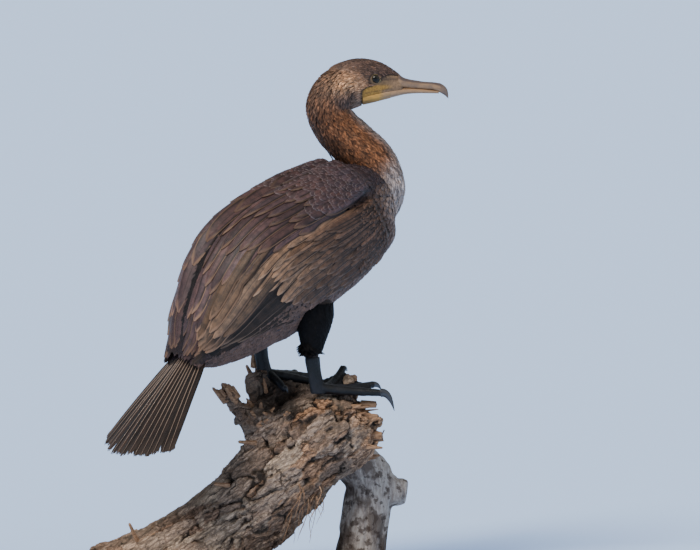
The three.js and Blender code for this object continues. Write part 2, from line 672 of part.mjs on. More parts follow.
function turned(made) {
  const geometry = geometryOf(made);
  geometry.rotateZ(rad(BRANCH_TURN));
  return solid(geometry);
}

function baseSolid() {
  const { long, deep, thick, corner, edge } = BASE;
  const outline = new THREE.Shape();
  const [x, y] = [long / 2 - edge, deep / 2 - edge];
  outline.absarc(x - corner, y - corner, corner, 0, rad(90));
  outline.absarc(-x + corner, y - corner, corner, rad(90), rad(180));
  outline.absarc(-x + corner, -y + corner, corner, rad(180), rad(270));
  outline.absarc(x - corner, -y + corner, corner, rad(270), rad(360));
  const geometry = new THREE.ExtrudeGeometry(outline, {
    depth: thick - 2 * edge, bevelEnabled: true, bevelSize: edge, bevelThickness: edge, bevelSegments: 1, curveSegments: 4,
  });
  geometry.translate(0, 0, edge);
  return solid(geometry);
}

function rodSolid(x, y, bottom, top, radius) {
  const geometry = new THREE.CylinderGeometry(radius, radius, top - bottom, 20);
  geometry.rotateX(Math.PI / 2);
  geometry.translate(x, y, (top + bottom) / 2);
  return solid(geometry);
}

const bird = new THREE.Group();
const mount = new THREE.Group();

// Body and wings.
const legs = { right: legSolids("right"), left: legSolids("left") };
const tail = tailSolid();
const torso = torsoSolid();
const wingSpace = { front: [[4, 28], [4, 134]], rear: [[9.4, 28], [9.2, 90], [7.3, 136]], low: 0, high: 13, cells: [6, 6] };
const primarySpace = { front: [[6.3, 80], [6.3, 122]], rear: [[11.6, 46], [11.3, 80], [10.4, 120]], low: 0, high: 5.5, cells: [4, 6] };
const torsoSpace = torsoSolid(GAP);
bird.add(node("torso", torso, "plumage"));
const bothSides = (made) => made.add(placed(made, [0, 0, 0], true));
bird.add(node("tail", cutBy(tail, [torsoSpace, bothSides(plate(primarySpace))]), "flight"));
const thighCutters = [torsoSpace, bothSides(plate(wingSpace))];
for (const side of ["right", "left"]) {
  bird.add(node(`thigh_${side}`, cutBy(legs[side].thigh, thighCutters), "plumage"));
}

const wings = wingLayers();
const wingFinish = { primaries: "flight", secondaries: "flight", coverts: "coverts", scapulars: "plumage" };
for (const side of ["right", "left"]) {
  for (const [layer, made] of Object.entries(wings)) {
    bird.add(node(`wing_${side}_${layer}`, made, wingFinish[layer], side === "left"));
  }
}

// Neck and head.
const neckNames = ["neck_lower", "neck_middle", "neck_upper"];
neckNames.forEach((name, i) => {
  let length = neckSolid().intersect(neckHalf(NECK_CUTS[i], -1));
  if (i > 0) length = length.intersect(neckHalf(NECK_CUTS[i - 1], 1));
  bird.add(node(name, length.subtract(torsoSpace), "neckPlumage"));
});
const headFinish = {
  head: "headPlumage", upper_bill: "bill", lower_bill: "bill", gular_pouch: "pouch", eye_left: "eye", eye_right: "eye",
};
for (const [name, made] of Object.entries(headNodes())) bird.add(node(name, made, headFinish[name]));

// Legs.
for (const side of ["right", "left"]) {
  const leg = legs[side];
  bird.add(node(`shank_${side}`, leg.shank, "leg"));
  bird.add(node(`foot_${side}`, leg.foot, "leg"));
  for (const claw of leg.claws) bird.add(node(`claw_${side}_${claw.name}`, claw.made, "claw"));
}

// Wood and stand.
const footing = -SOLE_HEIGHT + BASE.thick; // the base's top, in the bird's frame
const sawnEnd = block(0, 900, -400, 400, -400, 900);
const endCut = geometryOf(sawnEnd);
endCut.rotateY(rad(-SAWN_END.slope));
endCut.translate(SAWN_END.x, 0, footing);
const sawn = block(-600, 600, -600, 600, footing + WOOD_FOOT, 600).intersect(turned(solid(endCut)));
const pressed = Object.values(legs).flatMap((leg) => [leg.space, ...leg.claws.map((claw) => claw.space)]);
const wood = (grow) => turned(join([logSolid(grow), ...brokenEnd(grow)]));
const fork = turned(join([tube(FORK, 0, 3, 14, 6), tube(STUB, 0, 2, 10, 3)]));
const rods = [[-190, -4], [84, 42]].map(([x, y]) => {
  const [top, bottom] = [footing + WOOD_FOOT + 40, footing + GAP];
  return { made: turned(rodSolid(x, y, bottom, top, ROD_RADIUS)), hole: turned(rodSolid(x, y, bottom - 5, top + GAP, ROD_RADIUS + GAP)) };
});
mount.add(node("perch_branch", cutBy(wood(0).intersect(sawn), [...pressed, rods[0].hole]), "bark"));
mount.add(node("perch_fork", cutBy(fork.intersect(sawn), [wood(1.2), rods[1].hole]), "paleWood"));
rods.forEach((rod, i) => mount.add(node(`stand_rod_${i + 1}`, rod.made, "rod")));

const base = new THREE.Mesh(geometryOf(baseSolid()), new THREE.MeshStandardMaterial(MATERIALS.stand));
base.name = "stand_base";
base.rotation.z = rad(BRANCH_TURN);

const shift = new THREE.Vector3(BASE_BACK, 0, SOLE_HEIGHT).applyAxisAngle(new THREE.Vector3(0, 0, 1), rad(BRANCH_TURN));
for (const group of [bird, mount]) group.position.copy(shift);

const model = new THREE.Group();
model.add(bird, mount, base);

export default model;
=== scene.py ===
"""A young great cormorant on a broken branch, feather by feather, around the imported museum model.

Sizes inside the script are millimetres in the bird's own frame: +X is the way the body heads, +Y is its
left, and the right sole is at height 0. seat() turns them into metres in the shared frame.
"""

import math

import bmesh
import bpy
import numpy as np
from bpy.props import FloatProperty, FloatVectorProperty, IntProperty, PointerProperty
from mathutils import Matrix, Vector, kdtree


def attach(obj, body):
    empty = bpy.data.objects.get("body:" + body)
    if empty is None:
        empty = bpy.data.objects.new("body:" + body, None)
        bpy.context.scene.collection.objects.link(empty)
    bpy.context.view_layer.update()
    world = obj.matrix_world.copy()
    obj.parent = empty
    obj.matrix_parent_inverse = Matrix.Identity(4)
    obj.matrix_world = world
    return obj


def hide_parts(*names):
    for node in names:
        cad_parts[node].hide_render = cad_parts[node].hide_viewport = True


bl_info = {
    "name": "Cormorant on a Branch",
    "version": (1, 0, 0),
    "blender": (4, 5, 0),
    "location": "3D View > Sidebar > Cormorant",
    "description": "Builds a life-size young cormorant with folded wings on a broken branch",
    "category": "Object",
}

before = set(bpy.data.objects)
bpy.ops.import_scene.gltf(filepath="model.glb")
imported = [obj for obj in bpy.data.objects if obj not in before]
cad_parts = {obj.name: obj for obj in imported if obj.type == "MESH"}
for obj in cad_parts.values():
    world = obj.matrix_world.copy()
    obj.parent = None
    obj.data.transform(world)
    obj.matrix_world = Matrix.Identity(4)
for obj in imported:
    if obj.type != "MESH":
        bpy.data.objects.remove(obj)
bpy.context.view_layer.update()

# Millimetres in a metre.
MM = 1000.0
# The branch's turn about the vertical and the slope at which its log rises.
BRANCH_TURN = math.radians(-35)
BRANCH_RISE = math.radians(33)
# The bird's own origin in the shared frame: this far ahead along the branch, and this high.
AHEAD, SOLE_HEIGHT = 72.0, 246.0
SHIFT = np.array([AHEAD * math.cos(BRANCH_TURN), AHEAD * math.sin(BRANCH_TURN), SOLE_HEIGHT])
# Angles off the back's ridge grow to the right, so each side has its sign.
OUTWARD = {"right": 1.0, "left": -1.0}
AROUND = (-math.pi, math.pi)
BLACK = (0.0, 0.0, 0.0)
SEED = 41


def seat(points):
    """Bird-frame millimetres as metres in the shared frame."""
    return (np.asarray(points, float) + SHIFT) / MM


def smooth(value, low=0.0, high=1.0):
    """A soft step from 0 at low to 1 at high."""
    x = np.clip((np.asarray(value, float) - low) / (high - low), 0.0, 1.0)
    return x * x * (3.0 - 2.0 * x)


def curve(table, t):
    """A smooth curve through the rows of a table, read at places counted in rows."""
    last = len(table) - 1
    place = np.clip(t, 0, last)
    i = np.minimum(np.floor(place).astype(int), last - 1)
    f = (place - i)[..., None]
    a, b, c, d = (table[np.clip(i + k, 0, last)] for k in (-1, 0, 1, 2))
    return 0.5 * (2 * b + (c - a) * f + (2 * a - 5 * b + 4 * c - d) * f**2 + (3 * b - 3 * c + d - a) * f**3)


def power(value, exponent):
    """The value raised to a power, with its sign kept."""
    return np.sign(value) * np.abs(value) ** exponent


def unit(vectors):
    """The vectors at length 1."""
    return vectors / (np.linalg.norm(vectors, axis=-1, keepdims=True) + 1e-12)


def run_of(table, t, columns=3):
    """The way the line in a table's first columns runs at t."""
    return unit(curve(table, t + 0.05)[..., :columns] - curve(table, t - 0.05)[..., :columns])


def paired(t, a):
    """Stations and angles as arrays of one shape."""
    return np.broadcast_arrays(np.asarray(t, float), np.asarray(a, float))


def noise(points, size, seed=0):
    """Smooth noise from -1 to 1 that varies over about size."""
    p = np.asarray(points, float) / size + seed * 17.31
    base = np.floor(p).astype(np.int64)
    f = p - base
    f = f * f * (3 - 2 * f)
    total = 0.0
    for corner in range(1 << p.shape[-1]):
        bits = np.array([(corner >> k) & 1 for k in range(p.shape[-1])])
        cell = base + bits
        h = np.sin(cell @ np.array([127.1, 311.7, 74.7])[: p.shape[-1]] + seed * 53.7) * 43758.5453
        weight = np.prod(np.where(bits == 1, f, 1 - f), axis=-1)
        total = total + (2 * (h - np.floor(h)) - 1) * weight
    return total


# The body's sections from the root of the neck to the tail: x, z, half width, reach up, reach down.
BODY = np.array([
    [138, 275, 3, 3, 3], [128, 268, 34, 34, 33], [109, 258, 50, 55, 58], [89, 245, 56, 66, 73],
    [48, 225, 61, 72, 86], [-6, 200, 64, 77, 93], [-61, 171, 65, 80, 98], [-97, 141, 63, 75, 89],
    [-131, 106, 56, 60, 66], [-162, 76, 46, 39, 40], [-182, 58, 36, 19, 20], [-204, 31, 30, 7, 8],
    [-224, 5, 26, 4, 4],
], float)
# The neck's S: x, y, z and radius.
NECK = np.array([
    [98, 0, 228, 36], [127, 0, 262, 36.5], [128, 1, 287, 35], [117, 3, 310, 33], [94, 7, 333, 31],
    [69, 11, 357, 29.5], [54.5, 12, 384, 27.2], [66, 6, 408, 27], [86, 0, 416, 23],
], float)
# The head and bill in the head's frame: x ahead of the eyes, z, half width, reach up, reach down.
HEAD_PLACE = np.array([113.5, -18.2, 422.6])
HEAD_TURN = math.radians(-35)
SKULL = np.array([
    [-70, -6, 5, 6, 6], [-60, -8, 19, 22.5, 24], [-40, -8, 24, 31, 34], [-20, -5, 23, 31, 32],
    [0, -5, 19, 28, 27], [14, -7, 15.5, 24.2, 20.5], [26, -10, 12.4, 19.5, 14.5],
    [37, -12, 10.4, 13.4, 9.5],
], float)
UPPER_BILL = np.array([
    [31, -3, 9, 9.3, 9.5], [38, -6, 9.2, 7.0, 7], [46.6, -7.6, 8.4, 6, 6], [55, -8.6, 7.6, 5.6, 5.6],
    [63, -9.5, 7.0, 5.2, 5.3], [71, -10.1, 6.8, 5.1, 5.1], [79, -10.8, 6.8, 5.3, 5.2],
    [87, -13, 6.2, 6.0, 6.0], [93.5, -16.5, 4.6, 5.8, 6.2], [97.4, -20.5, 2.6, 4.6, 5.6],
    [98.8, -24.5, 1, 2, 3.2],
], float)
LOWER_BILL = np.array([
    [-17, -27, 15.5, 7.2, 8.8], [-4, -25, 15, 7.2, 8], [12, -21.6, 12.4, 6.6, 7.2],
    [26, -19.2, 10.4, 6.0, 6.1], [40, -17.8, 8.8, 5.0, 4.2], [56, -17.5, 7.4, 3.9, 3.1],
    [76, -18.1, 6.0, 2.5, 2.5], [86, -19, 4.0, 1.8, 1.8],
], float)
# The upper edge of the bare face in front of and under the eye: x and z in the head's frame.
FACE_EDGE = np.array([
    [-24, -22], [-18, -16.5], [-12, -11.5], [-2, -9], [5, -6], [8, -1], [12, 3.0], [22, 5.2],
    [30, 4.0], [37, 1.5],
], float)
# The line between the mandibles and on to the gape: x and z in the head's frame.
MOUTH = np.array([[-17, -19.6], [6, -15.5], [26, -12.8], [48, -14.0], [87, -17.5]], float)
# The right thigh, from inside the body to the ankle: x, y, z, half depth, half width.
THIGH = np.array([
    [-2, 2, 128, 27, 16], [-5, 1, 100, 25, 18], [-8, 0, 76, 17.5, 13.5], [-9, 0, 57, 12, 9],
    [-9, 0, 47, 10.6, 7.4], [-7, 0, 22, 7.5, 5.2],
], float)
# Where each heel stands. The left one is further back and higher.
HEELS = {"right": np.array([0.0, -45.0, 0.0]), "left": np.array([-24.0, 45.0, 14.0])}
# The station at which each thigh's feathers end.
CUFFS = {"right": 2.75, "left": 2.35}


def raised(t, a):
    """How far the folded wings and the shoulder feathers stand off the body, in millimetres."""
    deg = np.abs(np.degrees(a))
    front = 2.95 + 0.5 * smooth(deg, 112, 134)
    lower = np.interp(t, [2.9, 3.6, 4.8, 6.0, 7.0, 8.2, 9.5, 11], [126, 131, 131, 128, 125, 112, 108, 104])
    thick = np.interp(t, [2.9, 4.0, 5.2, 6.5, 8.0, 9.5, 11], [9.5, 10.5, 9.5, 7.5, 5.0, 3.0, 2.0])
    wing = thick * smooth(t - front, -0.06, 0.3) * smooth(lower - deg, 0, 7) * smooth(deg, 52, 62)
    scapular_low = np.interp(t, [2.6, 4.5, 6, 7.6, 8.4], [71, 71, 69, 62, 50])
    over = np.interp(t, [2.2, 3.2, 4.5, 6.0, 7.5, 8.5], [0.5, 8.5, 12.5, 11.0, 7.5, 4.0])
    shoulder = over * smooth(scapular_low - deg, -2, 4) * smooth(deg, 1 + 0.8 * t, 6 + 1.7 * t)
    tertial = 6.0 * smooth(t, 6.8, 7.8) * smooth(deg, 26, 36)
    tertial = tertial * smooth(84 - deg, 0, 8) * smooth(10 - t, 0, 1.5)
    notch = 1 - 0.95 * np.exp(-(((deg - 71.5) / 3.6) ** 2)) * smooth(4.3 - t, 0, 0.8)
    return np.maximum(np.maximum(wing, shoulder), tertial) * notch


def body_at(t, a, lift=0.0, relief=1.0):
    """A point off the body: station t, angle a from the back's ridge, positive to the right."""
    t, a = paired(t, a)
    s = curve(BODY, t)
    ahead = run_of(BODY, t, 2)
    side = s[..., 2] * power(np.sin(a), 2 / 2.25)
    rise = np.where(np.cos(a) > 0, s[..., 3], s[..., 4]) * power(np.cos(a), 2 / 2.25)
    grown = 1 + (lift + (relief * raised(t, a) if relief else 0.0)) / (np.hypot(side, rise) + 1e-6)
    return np.stack([
        s[..., 0] + ahead[..., 1] * rise * grown, -side * grown, s[..., 1] - ahead[..., 0] * rise * grown
    ], -1)


def neck_at(t, a, lift=0.0):
    """A point off the neck: station t, angle a from its hind side, positive to the right."""
    t, a = paired(t, a)
    s = curve(NECK, t)
    ahead = run_of(NECK, t)
    back = -unit(np.cross(np.broadcast_to([0.0, 1.0, 0.0], ahead.shape), ahead))
    right = unit(np.cross(ahead, back))
    right = np.where(right[..., 1:2] > 0, -right, right)
    reach = (s[..., 3] + lift)[..., None]
    return s[..., :3] + reach * (back * np.cos(a)[..., None] + right * np.sin(a)[..., None])


def turn_head(local):
    """From the head's frame to the bird's."""
    c, s = math.cos(HEAD_TURN), math.sin(HEAD_TURN)
    x, y, z = local[..., 0], local[..., 1], local[..., 2]
    return np.stack([c * x - s * y, s * x + c * y, z], -1) + HEAD_PLACE


def section_at(table, t, a, lift=0.0, squareness=2.0):
    """A point of an upright section, in the head's frame."""
    t, a = paired(t, a)
    s = curve(table, t)
    reach = np.where(np.cos(a) > 0, s[..., 3], s[..., 4]) + lift
    return np.stack([
        s[..., 0] + 0 * a,
        -(s[..., 2] + lift) * power(np.sin(a), 2 / squareness),
        s[..., 1] + reach * power(np.cos(a), 2 / squareness),
    ], -1)


def head_at(t, a, lift=0.0):
    """A point off the head: station t, angle a from the crown, positive to the right."""
    return turn_head(section_at(SKULL, t, a, lift))


def thigh_at(side):
    """The thigh's surface as a function: station t, angle a from the front."""
    heel, flip = HEELS[side], OUTWARD[side]

    def at(t, a, lift=0.0):
        t, a = paired(t, a)
        s = curve(THIGH, t)
        drop = heel[2] * smooth(t, 1, 2.2)
        return np.stack([
            heel[0] + s[..., 0] + (s[..., 3] + lift) * np.cos(a),
            heel[1] + flip * (s[..., 1] + (s[..., 4] + lift) * np.sin(a)),
            s[..., 2] + drop,
        ], -1)

    return at


# Meshes


def link(made):
    """Puts an object in the scene."""
    bpy.context.scene.collection.objects.link(made)
    return made


def finish_piece(mesh, name, material, replaced=(), smooth_shade=True):
    """Puts a mesh in the scene as a piece of the bird or its stand."""
    piece = link(bpy.data.objects.new(name, mesh))
    mesh.materials.clear()
    mesh.materials.append(material)
    if smooth_shade:
        mesh.polygons.foreach_set("use_smooth", [True] * len(mesh.polygons))
    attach(piece, "root")
    if replaced:
        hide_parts(*replaced)


def shell(across, along, place, close=True):
    """A bmesh grid whose points go to place(u, v), with u and v from 0 to 1."""
    bm = bmesh.new()
    bmesh.ops.create_grid(bm, x_segments=across, y_segments=along, size=0.5)
    flat = np.array([v.co[:2] for v in bm.verts]) + 0.5
    for vert, point in zip(bm.verts, seat(place(flat[:, 0], flat[:, 1]))):
        vert.co = point
    if close:
        bmesh.ops.remove_doubles(bm, verts=bm.verts, dist=2e-6)
        bmesh.ops.dissolve_degenerate(bm, edges=bm.edges, dist=1e-7)
        bmesh.ops.recalc_face_normals(bm, faces=bm.faces)
    return bm


def to_mesh(bm, name):
    """The bmesh as a mesh, which frees the bmesh."""
    mesh = bpy.data.meshes.new(name)
    bm.to_mesh(mesh)
    bm.free()
    return mesh


def capped(surface, t0, t1):
    """A closed loft's place function, with its ends drawn in to points on the centre line."""

    def place(u, v):
        a = (u - 0.5) * 2 * math.pi
        inside = np.clip((v - 0.02) / 0.96, 0, 1)
        t = t0 + (t1 - t0) * inside
        points = surface(t, a)
        for end, at in ((v < 0.005, t0), (v > 0.995, t1)):
            ring = surface(np.full(24, at), np.linspace(0, 2 * math.pi, 24, endpoint=False)).mean(0)
            points = np.where(end[:, None], ring, points)
        return points

    return place


def points_of(mesh):
    """The mesh's points in bird-frame millimetres."""
    out = np.empty(len(mesh.vertices) * 3)
    mesh.vertices.foreach_get("co", out)
    return out.reshape(-1, 3) * MM - SHIFT


def swell(mesh, height):
    """Moves each point out along its normal by its own height, in millimetres."""
    points = np.empty(len(mesh.vertices) * 3)
    normals = points.copy()
    mesh.vertices.foreach_get("co", points)
    mesh.vertex_normals.foreach_get("vector", normals)
    points += normals * np.repeat(height, 3) / MM
    mesh.vertices.foreach_set("co", points.astype(np.float32))
    mesh.update()


def fused(mesh, voxel, relax=0):
    """The mesh as one closed skin of even cells, voxel millimetres wide, and a little relaxed."""
    piece = link(bpy.data.objects.new("work", mesh))
    remesh = piece.modifiers.new("fuse", "REMESH")
    remesh.mode = "VOXEL"
    remesh.voxel_size = voxel / MM
    if relax:
        ease = piece.modifiers.new("ease", "SMOOTH")
        ease.iterations = relax
    graph = bpy.context.evaluated_depsgraph_get()
    made = bpy.data.meshes.new_from_object(piece.evaluated_get(graph))
    bpy.data.objects.remove(piece)
    return made


def sawn(mesh, name, cuts):
    """The mesh without what lies past each cut's point and normal, and with the cuts closed."""
    bm = bmesh.new()
    bm.from_mesh(mesh)
    for point, normal in cuts:
        geom = bm.verts[:] + bm.edges[:] + bm.faces[:]
        cut = bmesh.ops.bisect_plane(
            bm, geom=geom, dist=1e-6, plane_co=Vector(point), plane_no=Vector(normal), clear_outer=True
        )
        edges = [e for e in cut["geom_cut"] if isinstance(e, bmesh.types.BMEdge)]
        bmesh.ops.holes_fill(bm, edges=edges, sides=0)
    bmesh.ops.triangulate(bm, faces=[f for f in bm.faces if len(f.verts) > 4])
    bmesh.ops.recalc_face_normals(bm, faces=bm.faces)
    return to_mesh(bm, name)


def paint(mesh, name, colours):
    """Stores a colour for each point of the mesh."""
    layer = mesh.color_attributes.new(name, "FLOAT_COLOR", "POINT")
    rgba = np.concatenate([np.clip(colours, 0, 1), np.ones((len(colours), 1))], 1)
    layer.data.foreach_set("color", rgba.astype(np.float32).ravel())


# Feathers


def leaf(s, blunt=0.12, neck=0.45):
    """How wide a feather is along its length, as a share of its widest."""
    opening = neck + (1 - neck) * smooth(s, 0, 0.35)
    closing = np.sqrt(np.clip(1 - (1 - blunt**2) * (np.clip(s - 0.5, 0, 1) / 0.5) ** 2.6, 0, 1))
    return opening * closing


def slopes(surface, u, v):
    """How a surface's points move as u grows and as v grows."""
    e = 0.01
    here = surface(u, v, 0.0)
    return (surface(u + e, v, 0.0) - here) / e, (surface(u, v + e, 0.0) - here) / e


def in_steps(way, du, dv):
    """The changes of u and v that lead along a way on the surface."""
    uu, uv, vv = (du * du).sum(-1), (du * dv).sum(-1), (dv * dv).sum(-1)
    area = uu * vv - uv * uv + 1e-9
    wu, wv = (way * du).sum(-1), (way * dv).sum(-1)
    return (wu * vv - wv * uv) / area, (wv * uu - wu * uv) / area


def feathers(
    surface, root, tip, half, lift=0.4, rise=1.6, tilt=0.0, camber=0.5, rows=4, cols=3,
    shape=leaf, wave=0.0,
):
    """Feathers that follow a surface from root to tip places. Gives points (n, rows, cols, 3)."""
    n = len(root)
    s = np.linspace(0, 1, rows)
    path = root[:, None, :] + (tip - root)[:, None, :] * s[None, :, None]
    half, lift, rise = (np.broadcast_to(value, (n,)) for value in (half, lift, rise))
    u, v = path[..., 0], path[..., 1]
    du, dv = slopes(surface, u, v)
    step = (tip - root)[:, None, :]
    ahead = unit(du * step[..., :1] + dv * step[..., 1:])
    out = unit(np.cross(du, dv))
    aside = np.cross(out, ahead)
    flip = np.sign(np.sum(aside * dv, -1, keepdims=True))
    aside = aside * np.where(flip == 0, 1, flip)
    cu, cv = in_steps(aside, du, dv)
    c = np.linspace(-1, 1, cols)
    width = half[:, None] * shape(s)[None, :]
    gu = u[..., None] + (cu * width)[..., None] * c
    gv = v[..., None] + (cv * width)[..., None] * c
    high = (lift[:, None] + rise[:, None] * s[None, :] ** 1.15)[..., None]
    high = high + tilt * c + camber * (1 - c**2)
    if wave:
        high = high + wave * np.sin(9 * s)[None, :, None] * c
    return surface(gu, gv, high)


def leaning(surface, u, v, length, heading=0.0):
    """Tip places for feathers of a length in millimetres that lie along the surface, turned by heading."""
    du, dv = slopes(surface, u, v)
    lie = unit(du)
    aside = unit(dv - lie * (dv * lie).sum(-1, keepdims=True))
    heading = np.broadcast_to(heading, u.shape)[..., None]
    length = np.broadcast_to(length, u.shape)[..., None]
    reach, across = in_steps((np.cos(heading) * lie + np.sin(heading) * aside) * length, du, dv)
    # Stations crowd on the hollow side of a bend, and a feather there would cross too many of them.
    most = 0.55
    return np.stack([u + np.clip(reach, -most, most), v + across], -1)


class Flock:
    """Feathers gathered for one piece: points, colours and places for their two UV maps."""

    def __init__(self):
        self.sets = []

    def add(self, points, tint, edge, bake):
        """Takes in feathers with their colour, their edge's colour and their place on the shared map."""
        n, rows, cols = points.shape[:3]
        tint = np.broadcast_to(tint.reshape(n, 1, 1, 3) if tint.ndim == 2 else tint, (n, rows, cols, 3))
        edge = np.broadcast_to(edge.reshape(-1, 1, 1, 3), (n, rows, cols, 3))
        self.sets.append((points, tint, edge, bake))

    def piece(self, name, material, slot, replaced=()):
        """Makes one mesh of all the feathers and puts it in the scene."""
        points, tints, edges, vanes, bakes, faces = [], [], [], [], [], []
        start = 0
        for grid, tint, edge, bake in self.sets:
            n, rows, cols = grid.shape[:3]
            s, c = np.meshgrid(np.linspace(0, 1, rows), np.linspace(0, 1, cols), indexing="ij")
            vane = np.broadcast_to(np.stack([c, s], -1), (n, rows, cols, 2))
            patch = bake[:, None, None, :] + 0.003 * (vane - 0.5)
            index = np.arange(rows * cols).reshape(rows, cols)
            corners = (index[:-1, :-1], index[:-1, 1:], index[1:, 1:], index[1:, :-1])
            quad = np.stack(corners, -1).reshape(-1, 4)
            faces.append((start + np.arange(n)[:, None, None] * rows * cols + quad[None]).reshape(-1, 4))
            start += n * rows * cols
            points.append(grid.reshape(-1, 3))
            tints.append(tint.reshape(-1, 3))
            edges.append(edge.reshape(-1, 3))
            vanes.append(vane.reshape(-1, 2))
            bakes.append(patch.reshape(-1, 2))
        points, faces = seat(np.concatenate(points)), np.concatenate(faces)
        mesh = bpy.data.meshes.new(name)
        mesh.vertices.add(len(points))
        mesh.vertices.foreach_set("co", points.astype(np.float32).ravel())
        mesh.loops.add(faces.size)
        mesh.loops.foreach_set("vertex_index", faces.astype(np.int32).ravel())
        mesh.polygons.add(len(faces))
        mesh.polygons.foreach_set("loop_start", np.arange(0, faces.size, 4, dtype=np.int32))
        for layer, values in (("OFBake", np.concatenate(bakes)), ("Vane", np.concatenate(vanes))):
            uv = mesh.uv_layers.new(name=layer)
            uv.data.foreach_set("uv", np.clip(values, 0, 1)[faces.ravel()].astype(np.float32).ravel())
        paint(mesh, "Tint", np.concatenate(tints))
        paint(mesh, "Edge", np.concatenate(edges))
        mesh.update()
        mesh.validate()
        finish_piece(mesh, name, material, replaced)


def scattered(rng, surface, t_range, a_range, spacing, keep=None):
    """Places over a part of a surface, about spacing millimetres apart, in staggered rows."""
    places = []
    samples = 41
    t = t_range[0]
    row = 0
    while t < t_range[1]:
        mid = np.full(samples, t)
        angles = np.linspace(a_range[0], a_range[1], samples)
        ring = surface(mid, angles, 0.0)
        around = np.linalg.norm(np.diff(ring, axis=0), axis=-1).sum()
        gap = spacing(t) if callable(spacing) else spacing
        count = max(3, int(around / gap))
        spread = (np.arange(count) + 0.5 * (row % 2) + rng.uniform(-0.3, 0.3, count)) / count
        a = a_range[0] + (a_range[1] - a_range[0]) * spread
        u = t + rng.uniform(-0.5, 0.5, count) * 0.4 * gap / 40
        places.append(np.stack([u, a], -1))
        along = np.linalg.norm(surface(mid + 0.05, angles, 0.0) - ring, axis=-1).mean() / 0.05
        t += max(0.004, 0.85 * gap / along)
        row += 1
    places = np.concatenate(places)
    if keep is not None:
        places = places[keep(places[:, 0], places[:, 1])]
    return places


def hind_first(spots):
    """The places in the order of laying, from the tail forward."""
    return spots[np.argsort(-spots[:, 0])]


# Colours


def blend(a, b, share):
    """Colour a with a share of colour b."""
    share = np.asarray(share)[..., None]
    return np.asarray(a) * (1 - share) + np.asarray(b) * share


MANTLE = np.array([0.028, 0.018, 0.022])
MANTLE_EDGE = np.array([0.120, 0.088, 0.088])
SHOULDER = np.array([0.054, 0.031, 0.032])
SHOULDER_EDGE = np.array([0.29, 0.165, 0.10])
COVERT = np.array([0.062, 0.036, 0.026])
COVERT_EDGE = np.array([0.30, 0.19, 0.13])
PALE_COVERT = np.array([0.250, 0.150, 0.092])
LOW_COVERT = np.array([0.016, 0.015, 0.019])
TAIL_VANE = np.array([0.015, 0.0088, 0.0068])
TERTIAL = np.array([0.130, 0.083, 0.055])
FLIGHT = np.array([0.013, 0.0085, 0.0065])
BELLY = np.array([0.100, 0.062, 0.050])
BREAST = np.array([0.420, 0.345, 0.320])
THIGH_TINT = np.array([0.003, 0.0025, 0.003])
NECK_BACK = np.array([0.075, 0.036, 0.020])
NECK_SIDE = np.array([0.178, 0.074, 0.032])
NECK_FRONT = np.array([0.200, 0.160, 0.145])
CROWN = np.array([0.085, 0.053, 0.043])
CHEEK = np.array([0.480, 0.270, 0.150])
THROAT = np.array([0.190, 0.130, 0.095])


def body_tint(t, a):
    """The body's feathers: a dark mantle, a brown flank and belly, a pale breast, and painted shade in the
    furrow between the wings.
    """
    deg = np.abs(np.degrees(a))
    side = blend(MANTLE, BELLY, smooth(deg, 80, 108))
    flank = smooth(deg, 62, 78) * smooth(140 - deg, 0, 15) * smooth(4.0 - t, 0, 0.8)
    side = blend(side, COVERT * 1.15, flank)
    front = smooth(2.5 - t, 0, 1.2) * smooth(deg, 62, 100) * smooth(172 - deg, 0, 60)
    # Painted shade along the furrow between the two wings' shoulder feathers.
    furrow_shade = smooth(t, 3.5, 5.0) * smooth(30 - deg, 0, 8)
    return blend(blend(side, BREAST * np.array([0.8, 0.74, 0.70]), front * 0.8), MANTLE * 0.16, furrow_shade)


def head_field(local):
    """The colour of the head's feathers: dark crown and nape, a pale cheek and a paler throat."""
    x, z = local[..., 0], local[..., 2]
    colour = blend(CROWN, [0.105, 0.060, 0.040], smooth(-x, 38, 62))
    cheek = np.exp(-(((x + 38) / 19) ** 2) - ((z + 3) / 12) ** 2)
    behind_eye = 0.55 * np.exp(-(((x + 14) / 14) ** 2) - ((z + 12) / 11) ** 2)
    colour = blend(colour, CHEEK, np.clip(cheek + behind_eye, 0, 1))
    return blend(colour, THROAT, smooth(-z, 20, 30) * smooth(x, -40, -20))


def neck_tint(t, a):
    """The neck's feathers: dark behind, rust at the side, pale in front, and the head's colours above."""
    deg = np.abs(np.degrees(a))
    colour = blend(NECK_BACK, NECK_SIDE, smooth(deg, 15, 75) * smooth(t, 2.0, 4.0))
    colour = blend(colour, NECK_FRONT, smooth(deg, 105, 150) * smooth(7.4 - t, 0, 1.5))
    low = smooth(3.4 - t, 0, 1.6)
    colour = blend(colour, blend(MANTLE, BREAST, smooth(deg, 40, 95)), low * 0.9)
    return blend(colour, head_field(head_local(neck_at(t, a))), smooth(t, 5.7, 6.8))


def head_tint(t, a):
    """The head's feathers, at stations and angles of the skull."""
    return head_field(section_at(SKULL, t, a))


def varied(rng, tint, amount=0.16, warm=0.05):
    """The tint of each feather, a little lighter, darker, warmer or colder than its neighbour's."""
    n = len(tint)
    light = np.exp(rng.normal(0, amount, (n, 1)))
    shade = 1 + rng.normal(0, warm, (n, 1)) * np.array([[1.0, 0.1, -0.9]])
    return np.clip(tint * light * shade, 0.001, 1)


# Materials


